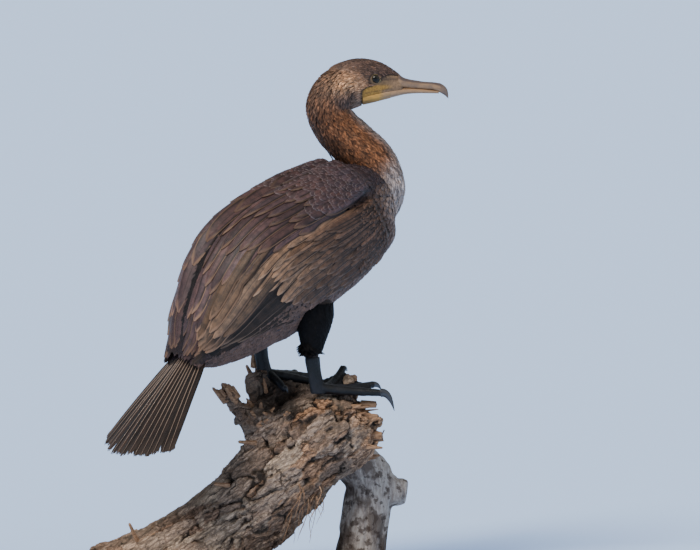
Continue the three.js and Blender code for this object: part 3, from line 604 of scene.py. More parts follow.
class Wire:
    """A shader socket that takes part in arithmetic."""

    def __init__(self, nodes, socket):
        self.nodes, self.socket = nodes, socket

    def math(self, operation, *others):
        return self.nodes.add("ShaderNodeMath", {"operation": operation}, [self, *others])

    def __add__(self, other):
        return self.math("ADD", other)

    def __sub__(self, other):
        return self.math("SUBTRACT", other)

    def __mul__(self, other):
        return self.math("MULTIPLY", other)

    def __rsub__(self, other):
        return self.nodes.add("ShaderNodeMath", {"operation": "SUBTRACT"}, [other, self])

    __radd__, __rmul__ = __add__, __mul__

    def step(self, low, high, start=0.0, end=1.0):
        """A soft step from start, where the value is low, to end, where it is high."""
        settings = {"interpolation_type": "SMOOTHSTEP"}
        return self.nodes.add("ShaderNodeMapRange", settings, [self, low, high, start, end])


class Finish:
    """A material and its nodes."""

    def __init__(self, name, **values):
        self.material = bpy.data.materials.new(name)
        self.material.use_nodes = True
        self.tree = self.material.node_tree
        self.tree.nodes.clear()
        self.shader = self.tree.nodes.new("ShaderNodeBsdfPrincipled")
        output = self.tree.nodes.new("ShaderNodeOutputMaterial")
        self.tree.links.new(self.shader.outputs[0], output.inputs[0])
        for key, value in values.items():
            self.shader.inputs[key.replace("_", " ")].default_value = value

    def add(self, kind, settings=None, inputs=None, output=0):
        """A node of a kind: its settings come first, then the values or links of its sockets."""
        node = self.tree.nodes.new(kind)
        for key, value in (settings or {}).items():
            setattr(node, key, value)
        pairs = inputs.items() if isinstance(inputs, dict) else enumerate(inputs or [])
        for key, value in pairs:
            self.put(node.inputs[key], value)
        return Wire(self, node.outputs[output])

    def put(self, socket, value):
        if isinstance(value, Wire):
            self.tree.links.new(value.socket, socket)
        elif hasattr(value, "__len__") and len(value) == 3 and socket.type == "RGBA":
            socket.default_value = (*value, 1.0)
        else:
            socket.default_value = value

    def set(self, **values):
        """Sets or links the shader's sockets and gives the finished material."""
        for key, value in values.items():
            self.put(self.shader.inputs[key.replace("_", " ")], value)
        return self.material

    def place(self, scale=(1, 1, 1), turn=(0, 0, 0)):
        """Object coordinates as a piece with that turn sees them, then scaled on each axis."""
        coordinates = self.add("ShaderNodeTexCoord", output="Object")
        inputs = {"Vector": coordinates, "Scale": tuple(1 / k for k in scale), "Rotation": turn}
        return self.add("ShaderNodeMapping", {"vector_type": "TEXTURE"}, inputs)

    def attribute(self, name):
        return self.add("ShaderNodeAttribute", {"attribute_name": name}, output="Color")

    def mix(self, share, a, b, kind="MIX"):
        settings = {"data_type": "RGBA", "blend_type": kind}
        return self.add("ShaderNodeMix", settings, {0: share, 6: a, 7: b}, output=2)

    def noise(self, place, scale, detail=4, rough=0.55, output=0):
        inputs = {"Vector": place, "Scale": scale, "Detail": detail, "Roughness": rough}
        return self.add("ShaderNodeTexNoise", None, inputs, output)

    def bump(self, height, strength, distance):
        inputs = {"Height": height, "Strength": strength, "Distance": distance}
        return self.add("ShaderNodeBump", None, inputs)

    def cells(self, place, scale, feature="F1", output=0):
        inputs = {"Vector": place, "Scale": scale}
        return self.add("ShaderNodeTexVoronoi", {"feature": feature}, inputs, output)

    def axes(self, vector):
        """The three numbers of a vector."""
        node = self.add("ShaderNodeSeparateXYZ", None, [vector]).socket.node
        return [Wire(self, socket) for socket in node.outputs]


def plumage(
    name, edge=0.0, shaft=(0.02, 0.015, 0.012), shaft_share=0.0, barbs=30, rough=0.5, relief=0.0004,
    root_shade=0.45, side_shade=0.7, rim_start=0.88, gloss=0.2,
):
    """Feathers: the painted tint, barbs that slant from the shaft, a shaft line, a pale edge, and painted
    shade at the root and along the sides where neighbours overlap.
    """
    m = Finish(name, Sheen_Weight=0.02, Sheen_Roughness=0.35, Specular_IOR_Level=gloss)
    vane = m.add("ShaderNodeUVMap", {"uv_map": "Vane"})
    across, along = m.axes(vane)[:2]
    off = (across - 0.5).math("ABSOLUTE") * 2
    slant = along * 1.6 - off * 0.45
    lines = (slant * (barbs * 6.283)).math("SINE") * 0.5 + 0.5
    uneven = m.noise(m.place(), 700, 4, 0.65)
    patches = m.noise(m.place(), 110, 3, 0.6)
    barb = lines * 0.4 + uneven * 0.6
    tint = m.mix(patches.step(0.35, 0.68), m.attribute("Tint"), (1.9, 1.75, 1.6), "MULTIPLY")
    colour = m.mix(barb.step(0.25, 0.75) * 0.35, tint, BLACK)
    # Painted shade at the root, where the feathers above cover it.
    root_shade_mask = along.step(0.0, 0.6, root_shade, 0.0)
    colour = m.mix(root_shade_mask, colour, BLACK)
    # Painted shade along both sides of the vane, where the neighbouring feathers overlap it.
    side = off.step(0.5, 0.9) * along.step(1.02, 0.9)
    colour = m.mix(side * side_shade, colour, (0.003, 0.002, 0.002))
    if edge:
        tip = (along + off * 0.22 * along + uneven * 0.05).step(0.97, 1.10)
        rim = (off + uneven * 0.08).step(rim_start, rim_start + 0.1) * along.step(0.3, 0.7)
        colour = m.mix(tip.math("MAXIMUM", rim) * edge, colour, m.attribute("Edge"))
    if shaft_share:
        line = off.step(0.03, 0.10, 1.0, 0.0) * along.step(0.97, 0.7)
        colour = m.mix(line * shaft_share, colour, shaft)
    ridge = off.step(0.0, 0.12, 1.0, 0.0) * 0.6 + barb * 0.6
    rough = barb * 0.25 + (rough - 0.12)
    return m.set(Base_Color=colour, Normal=m.bump(ridge, 0.8, relief), Roughness=rough)


def skin_finish():
    m = Finish("down_skin", Roughness=0.9, Sheen_Weight=0.1)
    strands = m.noise(m.place(), 420, 5, 0.7)
    colour = m.mix(strands.step(0.3, 0.7) * 0.5, m.attribute("Tint"), BLACK)
    return m.set(Base_Color=colour, Normal=m.bump(strands, 0.5, 0.0006))


def bill_finish(dark_ridge):
    m = Finish("bill_horn", Specular_IOR_Level=0.3, Coat_Weight=0.05, Coat_Roughness=0.3)
    place = m.place((1, 1, 1), (0, 0, HEAD_TURN))
    streaks = m.noise(m.place((0.35, 1.6, 1.6), (0, 0, HEAD_TURN)), 260, 4, 0.6)
    blotch = m.noise(place, 90, 3)
    tint = m.attribute("Tint")
    colour = m.mix(streaks.step(0.35, 0.7) * 0.35, tint, (0.09, 0.06, 0.05))
    colour = m.mix(blotch.step(0.45, 0.7) * dark_ridge, colour, (0.07, 0.055, 0.055))
    return m.set(Base_Color=colour, Roughness=streaks * 0.25 + 0.3, Normal=m.bump(streaks, 0.35, 0.0004))


def pouch_finish():
    m = Finish("pouch_skin", Specular_IOR_Level=0.4)
    grain = m.cells(m.place(), 700)
    folds = m.noise(m.place((0.5, 1, 2.4)), 160, 3)
    colour = m.mix(folds.step(0.35, 0.7) * 0.55, m.attribute("Tint"), (0.20, 0.13, 0.035))
    relief = m.bump(grain * 0.6 + folds * 0.5, 0.5, 0.0006)
    return m.set(Base_Color=colour, Roughness=grain * 0.3 + 0.42, Normal=relief)


def leg_finish():
    m = Finish("leg_scutes", Specular_IOR_Level=0.3, Coat_Weight=0.10, Coat_Roughness=0.2)
    scute = m.cells(m.place((1, 1, 0.8)), 420, "DISTANCE_TO_EDGE")
    wear_and_sheen = m.noise(m.place(), 60, 4)
    # Worn patches that also vary the roughness, lightened to a bluish painted sheen.
    colour = m.mix(wear_and_sheen.step(0.42, 0.74) * 0.7, (0.0014, 0.0014, 0.002), (0.012, 0.013, 0.021))
    colour = m.mix(scute.step(0.0, 0.10, 0.6, 0.0), colour, (0.001, 0.001, 0.0012))
    relief = m.bump(scute.step(0, 0.22), 0.6, 0.0006)
    return m.set(Base_Color=colour, Roughness=wear_and_sheen * 0.25 + 0.34, Normal=relief)


def claw_finish():
    m = Finish("claw_horn", Specular_IOR_Level=0.6, Coat_Weight=0.3)
    grain = m.noise(m.place((1, 1, 3)), 300, 3)
    colour = m.mix(grain, (0.006, 0.006, 0.008), (0.03, 0.03, 0.038))
    return m.set(Base_Color=colour, Roughness=grain * 0.2 + 0.22)


def eye_finish():
    m = Finish("eye_globe", Specular_IOR_Level=0.2, Coat_Weight=0.08, Coat_Roughness=0.03)
    rays = m.noise(m.place(), 1400, 2)
    colour = m.mix(rays * 0.5, m.attribute("Tint"), (0.004, 0.003, 0.002))
    return m.set(Base_Color=colour, Roughness=rays * 0.06 + 0.14)


def bark_finish():
    """Bark: the painted tint with fibres, chips and split cells that lie along the branch, and painted shade
    in the splits.
    """
    m = Finish("bark", Specular_IOR_Level=0.15)
    turn = (0, -BRANCH_RISE, BRANCH_TURN)
    grain = m.noise(m.place((0.35, 1.8, 1.8), turn), 170, 9, 0.72)
    fine = m.noise(m.place((0.5, 2.2, 2.2), turn), 520, 4, 0.7)
    rust = m.noise(m.place(), 45, 5, 0.65)
    sway = m.noise(m.place(), 90, 4, 0.6, output=1)
    swayed = [sway, (0.012, 0.012, 0.012), m.place((0.36, 1, 1), turn)]
    bent = m.add("ShaderNodeVectorMath", {"operation": "MULTIPLY_ADD"}, swayed)
    split = m.cells(bent, 48, "DISTANCE_TO_EDGE")
    cell = m.cells(bent, 48, output=1)
    partly = m.noise(m.place(), 30, 3).step(0.46, 0.60)
    gap = split.step(0.01, 0.05, 1.0, 0.0) * partly
    small = m.cells(bent, 150, "DISTANCE_TO_EDGE")
    chips = small.step(0.0, 0.10, 1.0, 0.0) * fine.step(0.42, 0.56)
    dull = m.mix(0.45, m.attribute("Tint"), BLACK)
    lit = m.mix(grain.step(0.34, 0.66), (1.6, 1.58, 1.55), (5.2, 5.05, 4.9))
    tone = m.mix(1.0, dull, lit, "MULTIPLY")
    tone = m.mix(chips * 0.6, tone, (0.020, 0.013, 0.010))
    grey = m.axes(cell)[0]
    colour = m.mix(grey * 0.45, tone, (0.30, 0.235, 0.18))
    colour = m.mix(rust.step(0.54, 0.68) * 0.5, colour, (0.24, 0.135, 0.078))
    colour = m.mix(fine.step(0.36, 0.54, 1.0, 0.0) * 0.5, colour, (0.018, 0.012, 0.010))
    # Painted shade in the splits between the bark's cells.
    colour = m.mix(gap * 0.7, colour, (0.020, 0.014, 0.011))
    height = grain * 0.7 + fine * 0.4 - gap * 1.2 - chips * 0.4 + grey * 0.4
    return m.set(Base_Color=colour, Roughness=grain * 0.2 + 0.78, Normal=m.bump(height, 1.0, 0.004))


def bare_wood_finish():
    """Weathered wood without bark: pale fibres and dark stains, which spread further towards the ground as
    painted shade.
    """
    m = Finish("bare_wood", Specular_IOR_Level=0.2)
    fibre = m.noise(m.place((1.6, 1.6, 0.5)), 150, 7, 0.7)
    stain = m.noise(m.place((1, 1, 0.7)), 26, 5, 0.6)
    spots = m.noise(m.place(), 90, 4, 0.6)
    # Painted shade: the stains and spots spread further on the fork's lower part.
    low = m.axes(m.add("ShaderNodeTexCoord", output=3))[2].step(0.05, 0.19, 1.0, 0.0)
    colour = m.mix(fibre.step(0.3, 0.7), (0.26, 0.215, 0.19), (0.50, 0.45, 0.41))
    colour = m.mix((stain + low * 0.09).step(0.51, 0.62) * 0.8, colour, (0.085, 0.060, 0.047))
    colour = m.mix((spots + low * 0.05).step(0.57, 0.65) * 0.75, colour, (0.055, 0.036, 0.028))
    return m.set(Base_Color=colour, Roughness=fibre * 0.2 + 0.7, Normal=m.bump(fibre + stain, 0.8, 0.003))


def broken_wood_finish():
    m = Finish("broken_wood", Specular_IOR_Level=0.25)
    fibre = m.noise(m.place((0.6, 2.6, 2.6), (0, 0, BRANCH_TURN)), 240, 5, 0.7)
    colour = m.mix(fibre.step(0.3, 0.7), (0.12, 0.062, 0.034), (0.42, 0.25, 0.145))
    return m.set(Base_Color=colour, Roughness=fibre * 0.2 + 0.65, Normal=m.bump(fibre, 0.8, 0.0012))


def base_finish():
    m = Finish("base_varnish", Specular_IOR_Level=0.5, Coat_Weight=0.35, Coat_Roughness=0.2)
    grain = m.noise(m.place((0.25, 3.0, 3.0), (0, 0, BRANCH_TURN)), 60, 6, 0.6)
    pores = m.noise(m.place((0.2, 5.0, 5.0), (0, 0, BRANCH_TURN)), 260, 3, 0.6)
    colour = m.mix(grain.step(0.3, 0.7), (0.030, 0.014, 0.008), (0.105, 0.052, 0.028))
    relief = m.bump(grain * 0.5 + pores, 0.2, 0.0004)
    return m.set(Base_Color=colour, Roughness=pores * 0.2 + 0.28, Normal=relief)


def rod_finish():
    m = Finish("brushed_rod", Metallic=1.0)
    lines = m.noise(m.place((1, 1, 14)), 300, 3)
    colour = m.mix(lines, (0.42, 0.42, 0.44), (0.62, 0.62, 0.64))
    return m.set(Base_Color=colour, Roughness=lines * 0.2 + 0.25)


def quill_finish(straw):
    m = Finish("tail_shaft_horn", Coat_Weight=0.2)
    streak = m.noise(m.place(), 300, 3)
    colour = m.mix(streak, straw, tuple(0.45 * c for c in straw))
    return m.set(Base_Color=colour, Roughness=streak * 0.2 + 0.35)


def floor_finish(colour):
    glow = {"Emission_Color": (0.05, 0.25, 1.0, 1.0), "Emission_Strength": 0.24}
    m = Finish("pale_floor", Roughness=0.95, Specular_IOR_Level=0.1, **glow)
    faint = m.noise(m.place(), 0.6, 2)
    return m.set(Base_Color=m.mix(faint * 0.06, colour, tuple(0.85 * c for c in colour)))


# The pieces


class CormorantPlumage(bpy.types.PropertyGroup):
    """Sizes and colours of the bird's feathers."""

    coat_depth: FloatProperty(
        name="Coat depth",
        description="Depth of the coat over the skin, in millimetres",
        default=2.5, min=1, max=6,
    )
    body_gap: FloatProperty(
        name="Body spacing",
        description="Millimetres between the body's small feathers",
        default=5.2, min=4, max=14,
    )
    neck_gap: FloatProperty(
        name="Neck spacing",
        description="Millimetres between the neck's feathers",
        default=2.5, min=2, max=8,
    )
    head_gap: FloatProperty(
        name="Head spacing",
        description="Millimetres between the head's feathers",
        default=1.75, min=1, max=5,
    )
    tail_count: IntProperty(
        name="Tail feathers",
        description="Number of tail feathers",
        default=14, min=8, max=16,
    )
    tail_shaft: FloatVectorProperty(
        name="Tail shafts",
        description="Colour of the tail's shafts",
        subtype="COLOR", default=(0.28, 0.185, 0.13),
    )


class CormorantBare(bpy.types.PropertyGroup):
    """Sizes and colours of the bird's bare parts."""

    eye_radius: FloatProperty(
        name="Eye radius",
        description="Radius of the eye's globe, in millimetres",
        default=7.0, min=5, max=9,
    )
    iris: FloatVectorProperty(
        name="Iris",
        description="Colour of the iris",
        subtype="COLOR", default=(0.020, 0.018, 0.010),
    )
    pouch: FloatVectorProperty(
        name="Pouch",
        description="Colour of the bare throat",
        subtype="COLOR", default=(0.46, 0.24, 0.045),
    )
    horn: FloatVectorProperty(
        name="Bill",
        description="Colour of the bill's sides",
        subtype="COLOR", default=(0.330, 0.195, 0.105),
    )
    web: FloatProperty(
        name="Web",
        description="Thickness of a web, in millimetres",
        default=1.6, min=0.8, max=3,
    )


class CormorantStand(bpy.types.PropertyGroup):
    """The floor and the light."""

    floor: FloatVectorProperty(
        name="Floor",
        description="Colour of the floor",
        subtype="COLOR", default=(0.60, 0.77, 1.0),
    )
    key: FloatProperty(
        name="Key light",
        description="Strength of the main lamp",
        default=3.7, min=0,
    )
    sky: FloatProperty(
        name="Sky",
        description="Strength of the even light",
        default=0.48, min=0, max=3,
    )


BRANCH_X = np.array([math.cos(BRANCH_TURN), math.sin(BRANCH_TURN), 0.0])
BRANCH_Y = np.array([-math.sin(BRANCH_TURN), math.cos(BRANCH_TURN), 0.0])


def wood_frame(points):
    """Branch-frame millimetres in the bird's frame."""
    p = np.asarray(points, float)
    return p[..., :1] * BRANCH_X + p[..., 1:2] * BRANCH_Y + p[..., 2:] * np.array([0.0, 0.0, 1.0])


def tube(table, across, along, squash=1.0):
    """A bmesh tube along a table of x, y, z, radius rows in the bird's frame."""
    table = np.asarray(table, float)

    def surface(t, a):
        s = curve(table, t)
        lie = run_of(table, t)
        helper = np.where(np.abs(lie[..., 2:]) > 0.9, [1.0, 0.0, 0.0], [0.0, 0.0, 1.0])
        right = unit(np.cross(lie, helper))
        up = np.cross(right, lie)
        out = right * np.sin(a)[..., None] * squash + up * np.cos(a)[..., None]
        return s[..., :3] + s[..., 3:4] * out

    return shell(across, along, capped(surface, 0.0, len(table) - 1))


def merged(parts):
    """Several bmeshes as one mesh."""
    whole = bmesh.new()
    for part in parts:
        piece = bpy.data.meshes.new("part")
        part.to_mesh(piece)
        part.free()
        whole.from_mesh(piece)
        bpy.data.meshes.remove(piece)
    return to_mesh(whole, "merged")


def face_tint(local, pouch, horn):
    """The bare face's colour: yellow at the gape and throat, olive lores, and horn towards the bill."""
    x, z = local[:, 0], local[:, 2]
    mouth = np.interp(x, MOUTH[:, 0], MOUTH[:, 1])
    above = smooth(z - mouth, -0.6, 0.6)
    colour = blend(np.tile(pouch, (len(x), 1)), [0.150, 0.092, 0.045], smooth(z, -10.5, -6.5) * above)
    fade = above * smooth(x, 9, 27) + (1 - above) * smooth(x, 3, 14)
    colour = blend(colour, horn, fade)
    off_streak = (z - np.interp(x, [6, 38], [0.5, -1.5])) / 2.2
    streak = np.exp(-(off_streak**2)) * smooth(x, 5, 10) * smooth(36 - x, 0, 8)
    gape = np.exp(-(((z - mouth) / 0.8) ** 2)) * smooth(x, -17, -12) * smooth(84 - x, 0, 6)
    return blend(blend(colour, [0.05, 0.032, 0.024], streak * 0.75), [0.05, 0.03, 0.02], gape * 0.6)


def bare_face(local):
    """1 where the face is bare: the lores, the ring round the eye, the gape and the throat."""
    x, z = local[..., 0], local[..., 2]
    eye = np.hypot(x, z)
    top = np.interp(x, FACE_EDGE[:, 0], FACE_EDGE[:, 1])
    lores = smooth(top - z, -0.6, 0.8) * smooth(x, -18.5, -16.5)
    return np.maximum(lores, smooth(7.4 - eye, -0.5, 0.5))


def head_local(points):
    """From the bird's frame to the head's."""
    c, s = math.cos(HEAD_TURN), math.sin(HEAD_TURN)
    p = points - HEAD_PLACE
    return np.stack([c * p[..., 0] + s * p[..., 1], -s * p[..., 0] + c * p[..., 1], p[..., 2]], -1)


class CORMORANT_OT_skin(bpy.types.Operator):
    """Makes the one skin that lies under the coat from head to thighs"""

    bl_idname = "cormorant.skin"
    bl_label = "Skin"

    def execute(self, context):
        depth = context.scene.cormorant_plumage.coat_depth
        bare = context.scene.cormorant_bare
        parts = [
            shell(72, 120, capped(lambda t, a: body_at(t, a, -depth, 0.62), 0.0, 9.9)),
            shell(48, 110, capped(lambda t, a: neck_at(t, a, -depth), 0.0, 8.0)),
            shell(48, 60, capped(lambda t, a: head_at(t, a, -depth * 0.45), 0.02, 7.0)),
        ]
        for side in OUTWARD:
            thigh = thigh_at(side)
            parts.append(shell(32, 40, capped(lambda t, a: thigh(t, a, -depth * 0.8), 0.0, 4.0)))
        mesh = fused(merged(parts), voxel=2.2, relax=3)
        places = points_of(mesh)
        legs_below, neck_above, head_above = 130, 262, 385
        tint = np.tile(MANTLE * 0.4, (len(places), 1))
        tint[places[:, 2] < legs_below] = BELLY * 0.5
        local = head_local(places)
        near_head = (local[:, 0] > -50) & (np.abs(local[:, 1]) < 34) & (places[:, 2] > head_above)
        stations = np.linspace(0, 8, 160)
        line = curve(NECK, stations)[:, :3]
        on_neck = np.nonzero(places[:, 2] > neck_above)[0]
        nearest = np.linalg.norm(places[on_neck, None, :] - line[None], axis=-1).argmin(1)
        at = stations[nearest]
        back = unit(np.cross(run_of(NECK, at), np.array([0.0, 1.0, 0.0])))
        turned = (unit(places[on_neck] - line[nearest]) * back).sum(-1)
        tint[on_neck] = neck_tint(at, np.arccos(np.clip(turned, -1, 1))) * 0.6
        tint[near_head] = CROWN * 0.7
        bare_skin = face_tint(local, np.array(bare.pouch) * 0.9, np.array(bare.horn) * 0.8)
        tint = blend(tint, bare_skin, bare_face(local) * near_head)
        paint(mesh, "Tint", tint)
        thighs = ("thigh_right", "thigh_left")
        nodes = ("torso", "neck_lower", "neck_middle", "neck_upper", "head") + thighs
        finish_piece(mesh, "skin", skin_finish(), nodes)
        return {"FINISHED"}


TILE, MARGIN = 0.5, 0.01
TILES = {"body": (0, 0), "neck": (TILE, 0), "head": (0, TILE), "legs": (TILE, TILE)}


def bake_place(u, v, region):
    """A place on the feathers' shared map, where body, neck, head and thighs each have a tile."""
    inner = (TILE - 2 * MARGIN) * np.clip(np.stack([u, v], -1), 0, 1)
    return np.array(TILES[region]) + MARGIN + inner


def body_bake(places):
    return bake_place(places[:, 0] / 12.5, places[:, 1] / (2 * math.pi) + 0.5, "body")


def small_feathers(
    rng, flock, surface, places, length, half, tint, edge, bake, lift=0.3, rise=1.8, jitter=0.12, **form
):
    """Adds small feathers that lie along the surface to a flock."""
    n = len(places)
    length = length * rng.uniform(0.85, 1.15, n)
    tips = leaning(surface, places[:, 0], places[:, 1], length, rng.normal(0, jitter, n))
    lifts = lift + rng.uniform(0, 0.5, n)
    points = feathers(surface, places, tips, half * rng.uniform(0.85, 1.15, n), lifts, rise, **form)
    flock.add(points, varied(rng, tint), edge, bake)


class CORMORANT_OT_body_coat(bpy.types.Operator):
    """Covers the back, breast, belly and rump with small feathers"""

    bl_idname = "cormorant.body_coat"
    bl_label = "Body coat"

    def execute(self, context):
        settings = context.scene.cormorant_plumage
        rng = np.random.default_rng(SEED)

        def keep(t, a):
            deg = np.abs(np.degrees(a))
            under_wing = (t > 3.7) & (t < 9.2) & (deg > 20) & (deg < 104)
            return ~under_wing

        spots = hind_first(scattered(rng, body_at, (0.7, 9.75), AROUND, settings.body_gap, keep))
        t, a = spots[:, 0], spots[:, 1]
        deg = np.abs(np.degrees(a))
        soft = smooth(deg, 90, 120)
        tint = blend(body_tint(t, a), MANTLE * 0.6, smooth(t, 8.6, 10.0) * (1 - soft))
        size = np.interp(t, [0.6, 2.0, 5.0, 9.0, 11.5], [12, 14, 19, 21, 26])
        half = size * (0.36 - 0.12 * soft)
        plain = 0.85 * smooth(t, 3.6, 5.0) * (1 - soft)
        edge = blend(MANTLE_EDGE, BELLY * 2.2, soft) * (1 - plain)[:, None]
        edge = blend(edge, BREAST * 1.4, smooth(2.6 - t, 0, 1) * soft)
        flock = Flock()
        small_feathers(
            rng, flock, body_at, spots, size, half, tint, edge, body_bake(spots),
            lift=-0.6, rise=2.6, jitter=0.12, rows=5, cols=5, camber=1.1,
        )
        vanes = plumage("body_vanes", 0.7, barbs=14, relief=0.0005, rim_start=0.85)
        flock.piece("body_feathers", vanes, "body_plumage")
        return {"FINISHED"}


class CORMORANT_OT_thigh_coat(bpy.types.Operator):
    """Covers the thighs with soft black feathers that end in a ragged cuff"""

    bl_idname = "cormorant.thigh_coat"
    bl_label = "Thigh coat"

    def execute(self, context):
        rng = np.random.default_rng(SEED + 1)
        flock = Flock()
        for index, side in enumerate(OUTWARD):
            surface = thigh_at(side)
            ragged = lambda t, a: t < CUFFS[side] - 0.35 * np.cos(a) + 0.12 * np.sin(9 * a)
            spots = scattered(rng, surface, (0.2, 3.3), AROUND, 3.6, ragged)
            # A wispy tuft at the hind side of the cuff.
            wisp = np.stack([rng.uniform(2.0, 2.9, 90), math.pi + rng.uniform(-0.7, 0.7, 90)], -1)
            for places, loose in ((spots, 0.0), (wisp, 1.0)):
                t = places[:, 0]
                size = np.interp(t, [0.8, 2.0, 3.0, 3.6], [17, 14, 10, 7]) * (1 + 1.6 * loose)
                tint = np.tile(THIGH_TINT, (len(t), 1)) * (1 + 1.2 * smooth(t, 2.2, 3.6))[:, None]
                bake = bake_place((t / 4 + index) / 2, (places[:, 1] / (2 * math.pi) + 0.5) % 1.0, "legs")
                half = size * (0.22 - 0.18 * loose)
                rise = np.interp(t, [2.0, 3.1], [2.0, 0.5]) + 8.0 * loose
                small_feathers(
                    rng, flock, surface, places, size, half, tint, tint * 2.0, bake,
                    lift=-0.4, rise=rise, jitter=0.2, rows=5, cols=3, wave=0.3,
                )
        vanes = plumage("thigh_vanes", 0.2, barbs=10, rough=0.65, gloss=0.12)
        flock.piece("thigh_feathers", vanes, "body_plumage")
        return {"FINISHED"}


def neck_depth(points):
    """How far points lie inside the upper neck, in millimetres."""
    stations = np.linspace(4.5, 8, 60)
    line = curve(NECK, stations)
    away = np.linalg.norm(points[:, None, :] - line[None, :, :3], axis=-1) - line[None, :, 3]
    return -away.min(1)


def skull_depth(points):
    """How far points lie inside the skull, in millimetres, nearly."""
    local = head_local(points)
    t = np.interp(local[:, 0], SKULL[:, 0], range(len(SKULL)))
    s = curve(SKULL, t)
    high = local[:, 2] - s[:, 1]
    reach = np.where(high > 0, s[:, 3], s[:, 4])
    share = np.hypot(local[:, 1] / s[:, 2], high / reach)
    inside = (local[:, 0] > -56) & (local[:, 0] < 37)
    return np.where(inside, (1 - share) * s[:, 2], -99.0)


class CORMORANT_OT_neck_coat(bpy.types.Operator):
    """Covers the neck with narrow feathers"""

    bl_idname = "cormorant.neck_coat"
    bl_label = "Neck coat"

    def execute(self, context):
        settings = context.scene.cormorant_plumage
        rng = np.random.default_rng(SEED + 2)
        gap = lambda t: settings.neck_gap * (1.4 - 0.05 * t)
        spots = scattered(rng, neck_at, (0.4, 7.9), AROUND, gap)
        spots = spots[skull_depth(neck_at(spots[:, 0], spots[:, 1], -1.0)) < 2.0]
        t, a = spots[:, 0], spots[:, 1]
        fleck = rng.uniform(0, 1, len(t))[:, None]
        tint = neck_tint(t, a) * np.where(fleck < 0.28, 0.5, np.where(fleck > 0.86, 1.7, 1.0))
        size = np.interp(t, [0, 3, 5, 8], [14, 12, 9, 7])
        # The lie runs down the neck, from the head to the breast.
        last = len(NECK) - 1
        down = lambda u, v, lift=0.0: neck_at(last - u, v, lift)
        flipped = np.stack([last - t, a], -1)
        flock = Flock()
        bake = bake_place(t / last, a / (2 * math.pi) + 0.5, "neck")
        small_feathers(
            rng, flock, down, flipped, size, size * 0.19, tint, tint * 2.0, bake,
            lift=-0.5, rise=1.7, jitter=0.18, rows=4, cols=3, camber=0.5,
        )
        flock.piece("neck_feathers", plumage("neck_vanes", 0.4, barbs=8, relief=0.0003), "neck_plumage")
        return {"FINISHED"}


class CORMORANT_OT_head_coat(bpy.types.Operator):
    """Covers the head with very small feathers, around the bare face"""

    bl_idname = "cormorant.head_coat"
    bl_label = "Head coat"

    def execute(self, context):
        settings = context.scene.cormorant_plumage
        rng = np.random.default_rng(SEED + 3)
        spots = scattered(rng, head_at, (0.3, 6.7), AROUND, settings.head_gap)
        local = section_at(SKULL, spots[:, 0], spots[:, 1])
        gape = (local[:, 0] > 0) & (local[:, 2] < -14)
        keep = (bare_face(local) < 0.5) & ~gape & (neck_depth(turn_head(local)) < 1.5)
        spots, local = spots[keep], local[keep]
        t, a = spots[:, 0], spots[:, 1]
        fleck = rng.uniform(0, 1, len(t))[:, None]
        tint = head_tint(t, a) * np.where(fleck < 0.2, 0.6, np.where(fleck > 0.88, 1.5, 1.0))
        # The lie runs back from the bill.
        last = len(SKULL) - 1
        back = lambda u, v, lift=0.0: head_at(last - u, v, lift)
        flipped = np.stack([last - t, a], -1)
        size = np.interp(t, [1, 3.5, 6.6], [8.0, 6.2, 4.0])
        flock = Flock()
        bake = bake_place(t / last, a / (2 * math.pi) + 0.5, "head")
        small_feathers(
            rng, flock, back, flipped, size, size * 0.17, tint, tint * 1.6, bake,
            lift=-0.3, rise=1.0, jitter=0.15, rows=4, cols=3, camber=0.3,
        )
        flock.piece("head_feathers", plumage("head_vanes", 0.3, barbs=6, relief=0.0002), "neck_plumage")
        return {"FINISHED"}


def polyline(table, count):
    """count rows spaced evenly over a table of (t, degrees)."""
    table = np.asarray(table, float)
    place = np.linspace(0, len(table) - 1, count)
    return np.stack([np.interp(place, range(len(table)), table[:, k]) for k in range(2)], -1)


def wing_row(rng, flock, side, roots, tips, count, half, lift, rise, tint, edge, spread):
    """A row of wing feathers on one side; each overlaps the one below it."""
    sign = OUTWARD[side]
    root, tip = polyline(roots, count), polyline(tips, count)
    root[:, 0] += rng.normal(0, spread * 0.4, count)
    tip[:, 0] += rng.normal(0, spread, count)
    tip[:, 1] += rng.normal(0, 0.6, count)
    root[:, 1] = np.radians(root[:, 1]) * sign
    tip[:, 1] = np.radians(tip[:, 1]) * sign
    steps = np.linspace(0.9, 0.0, count)
    halves = half * rng.uniform(0.92, 1.08, count)
    tilt = sign * (0.6 + 0.09 * half)
    points = feathers(
        body_at, root, tip, halves, lift + steps, rise, tilt, camber=0.17 * half, rows=15, cols=7
    )
    colour = varied(rng, np.tile(tint, (count, 1)) if np.ndim(tint) == 1 else tint, 0.22, 0.05)
    rim = np.tile(edge, (count, 1)) if np.ndim(edge) == 1 else edge
    flock.add(points, colour, rim * rng.uniform(0.7, 1.25, (count, 1)), body_bake(root))


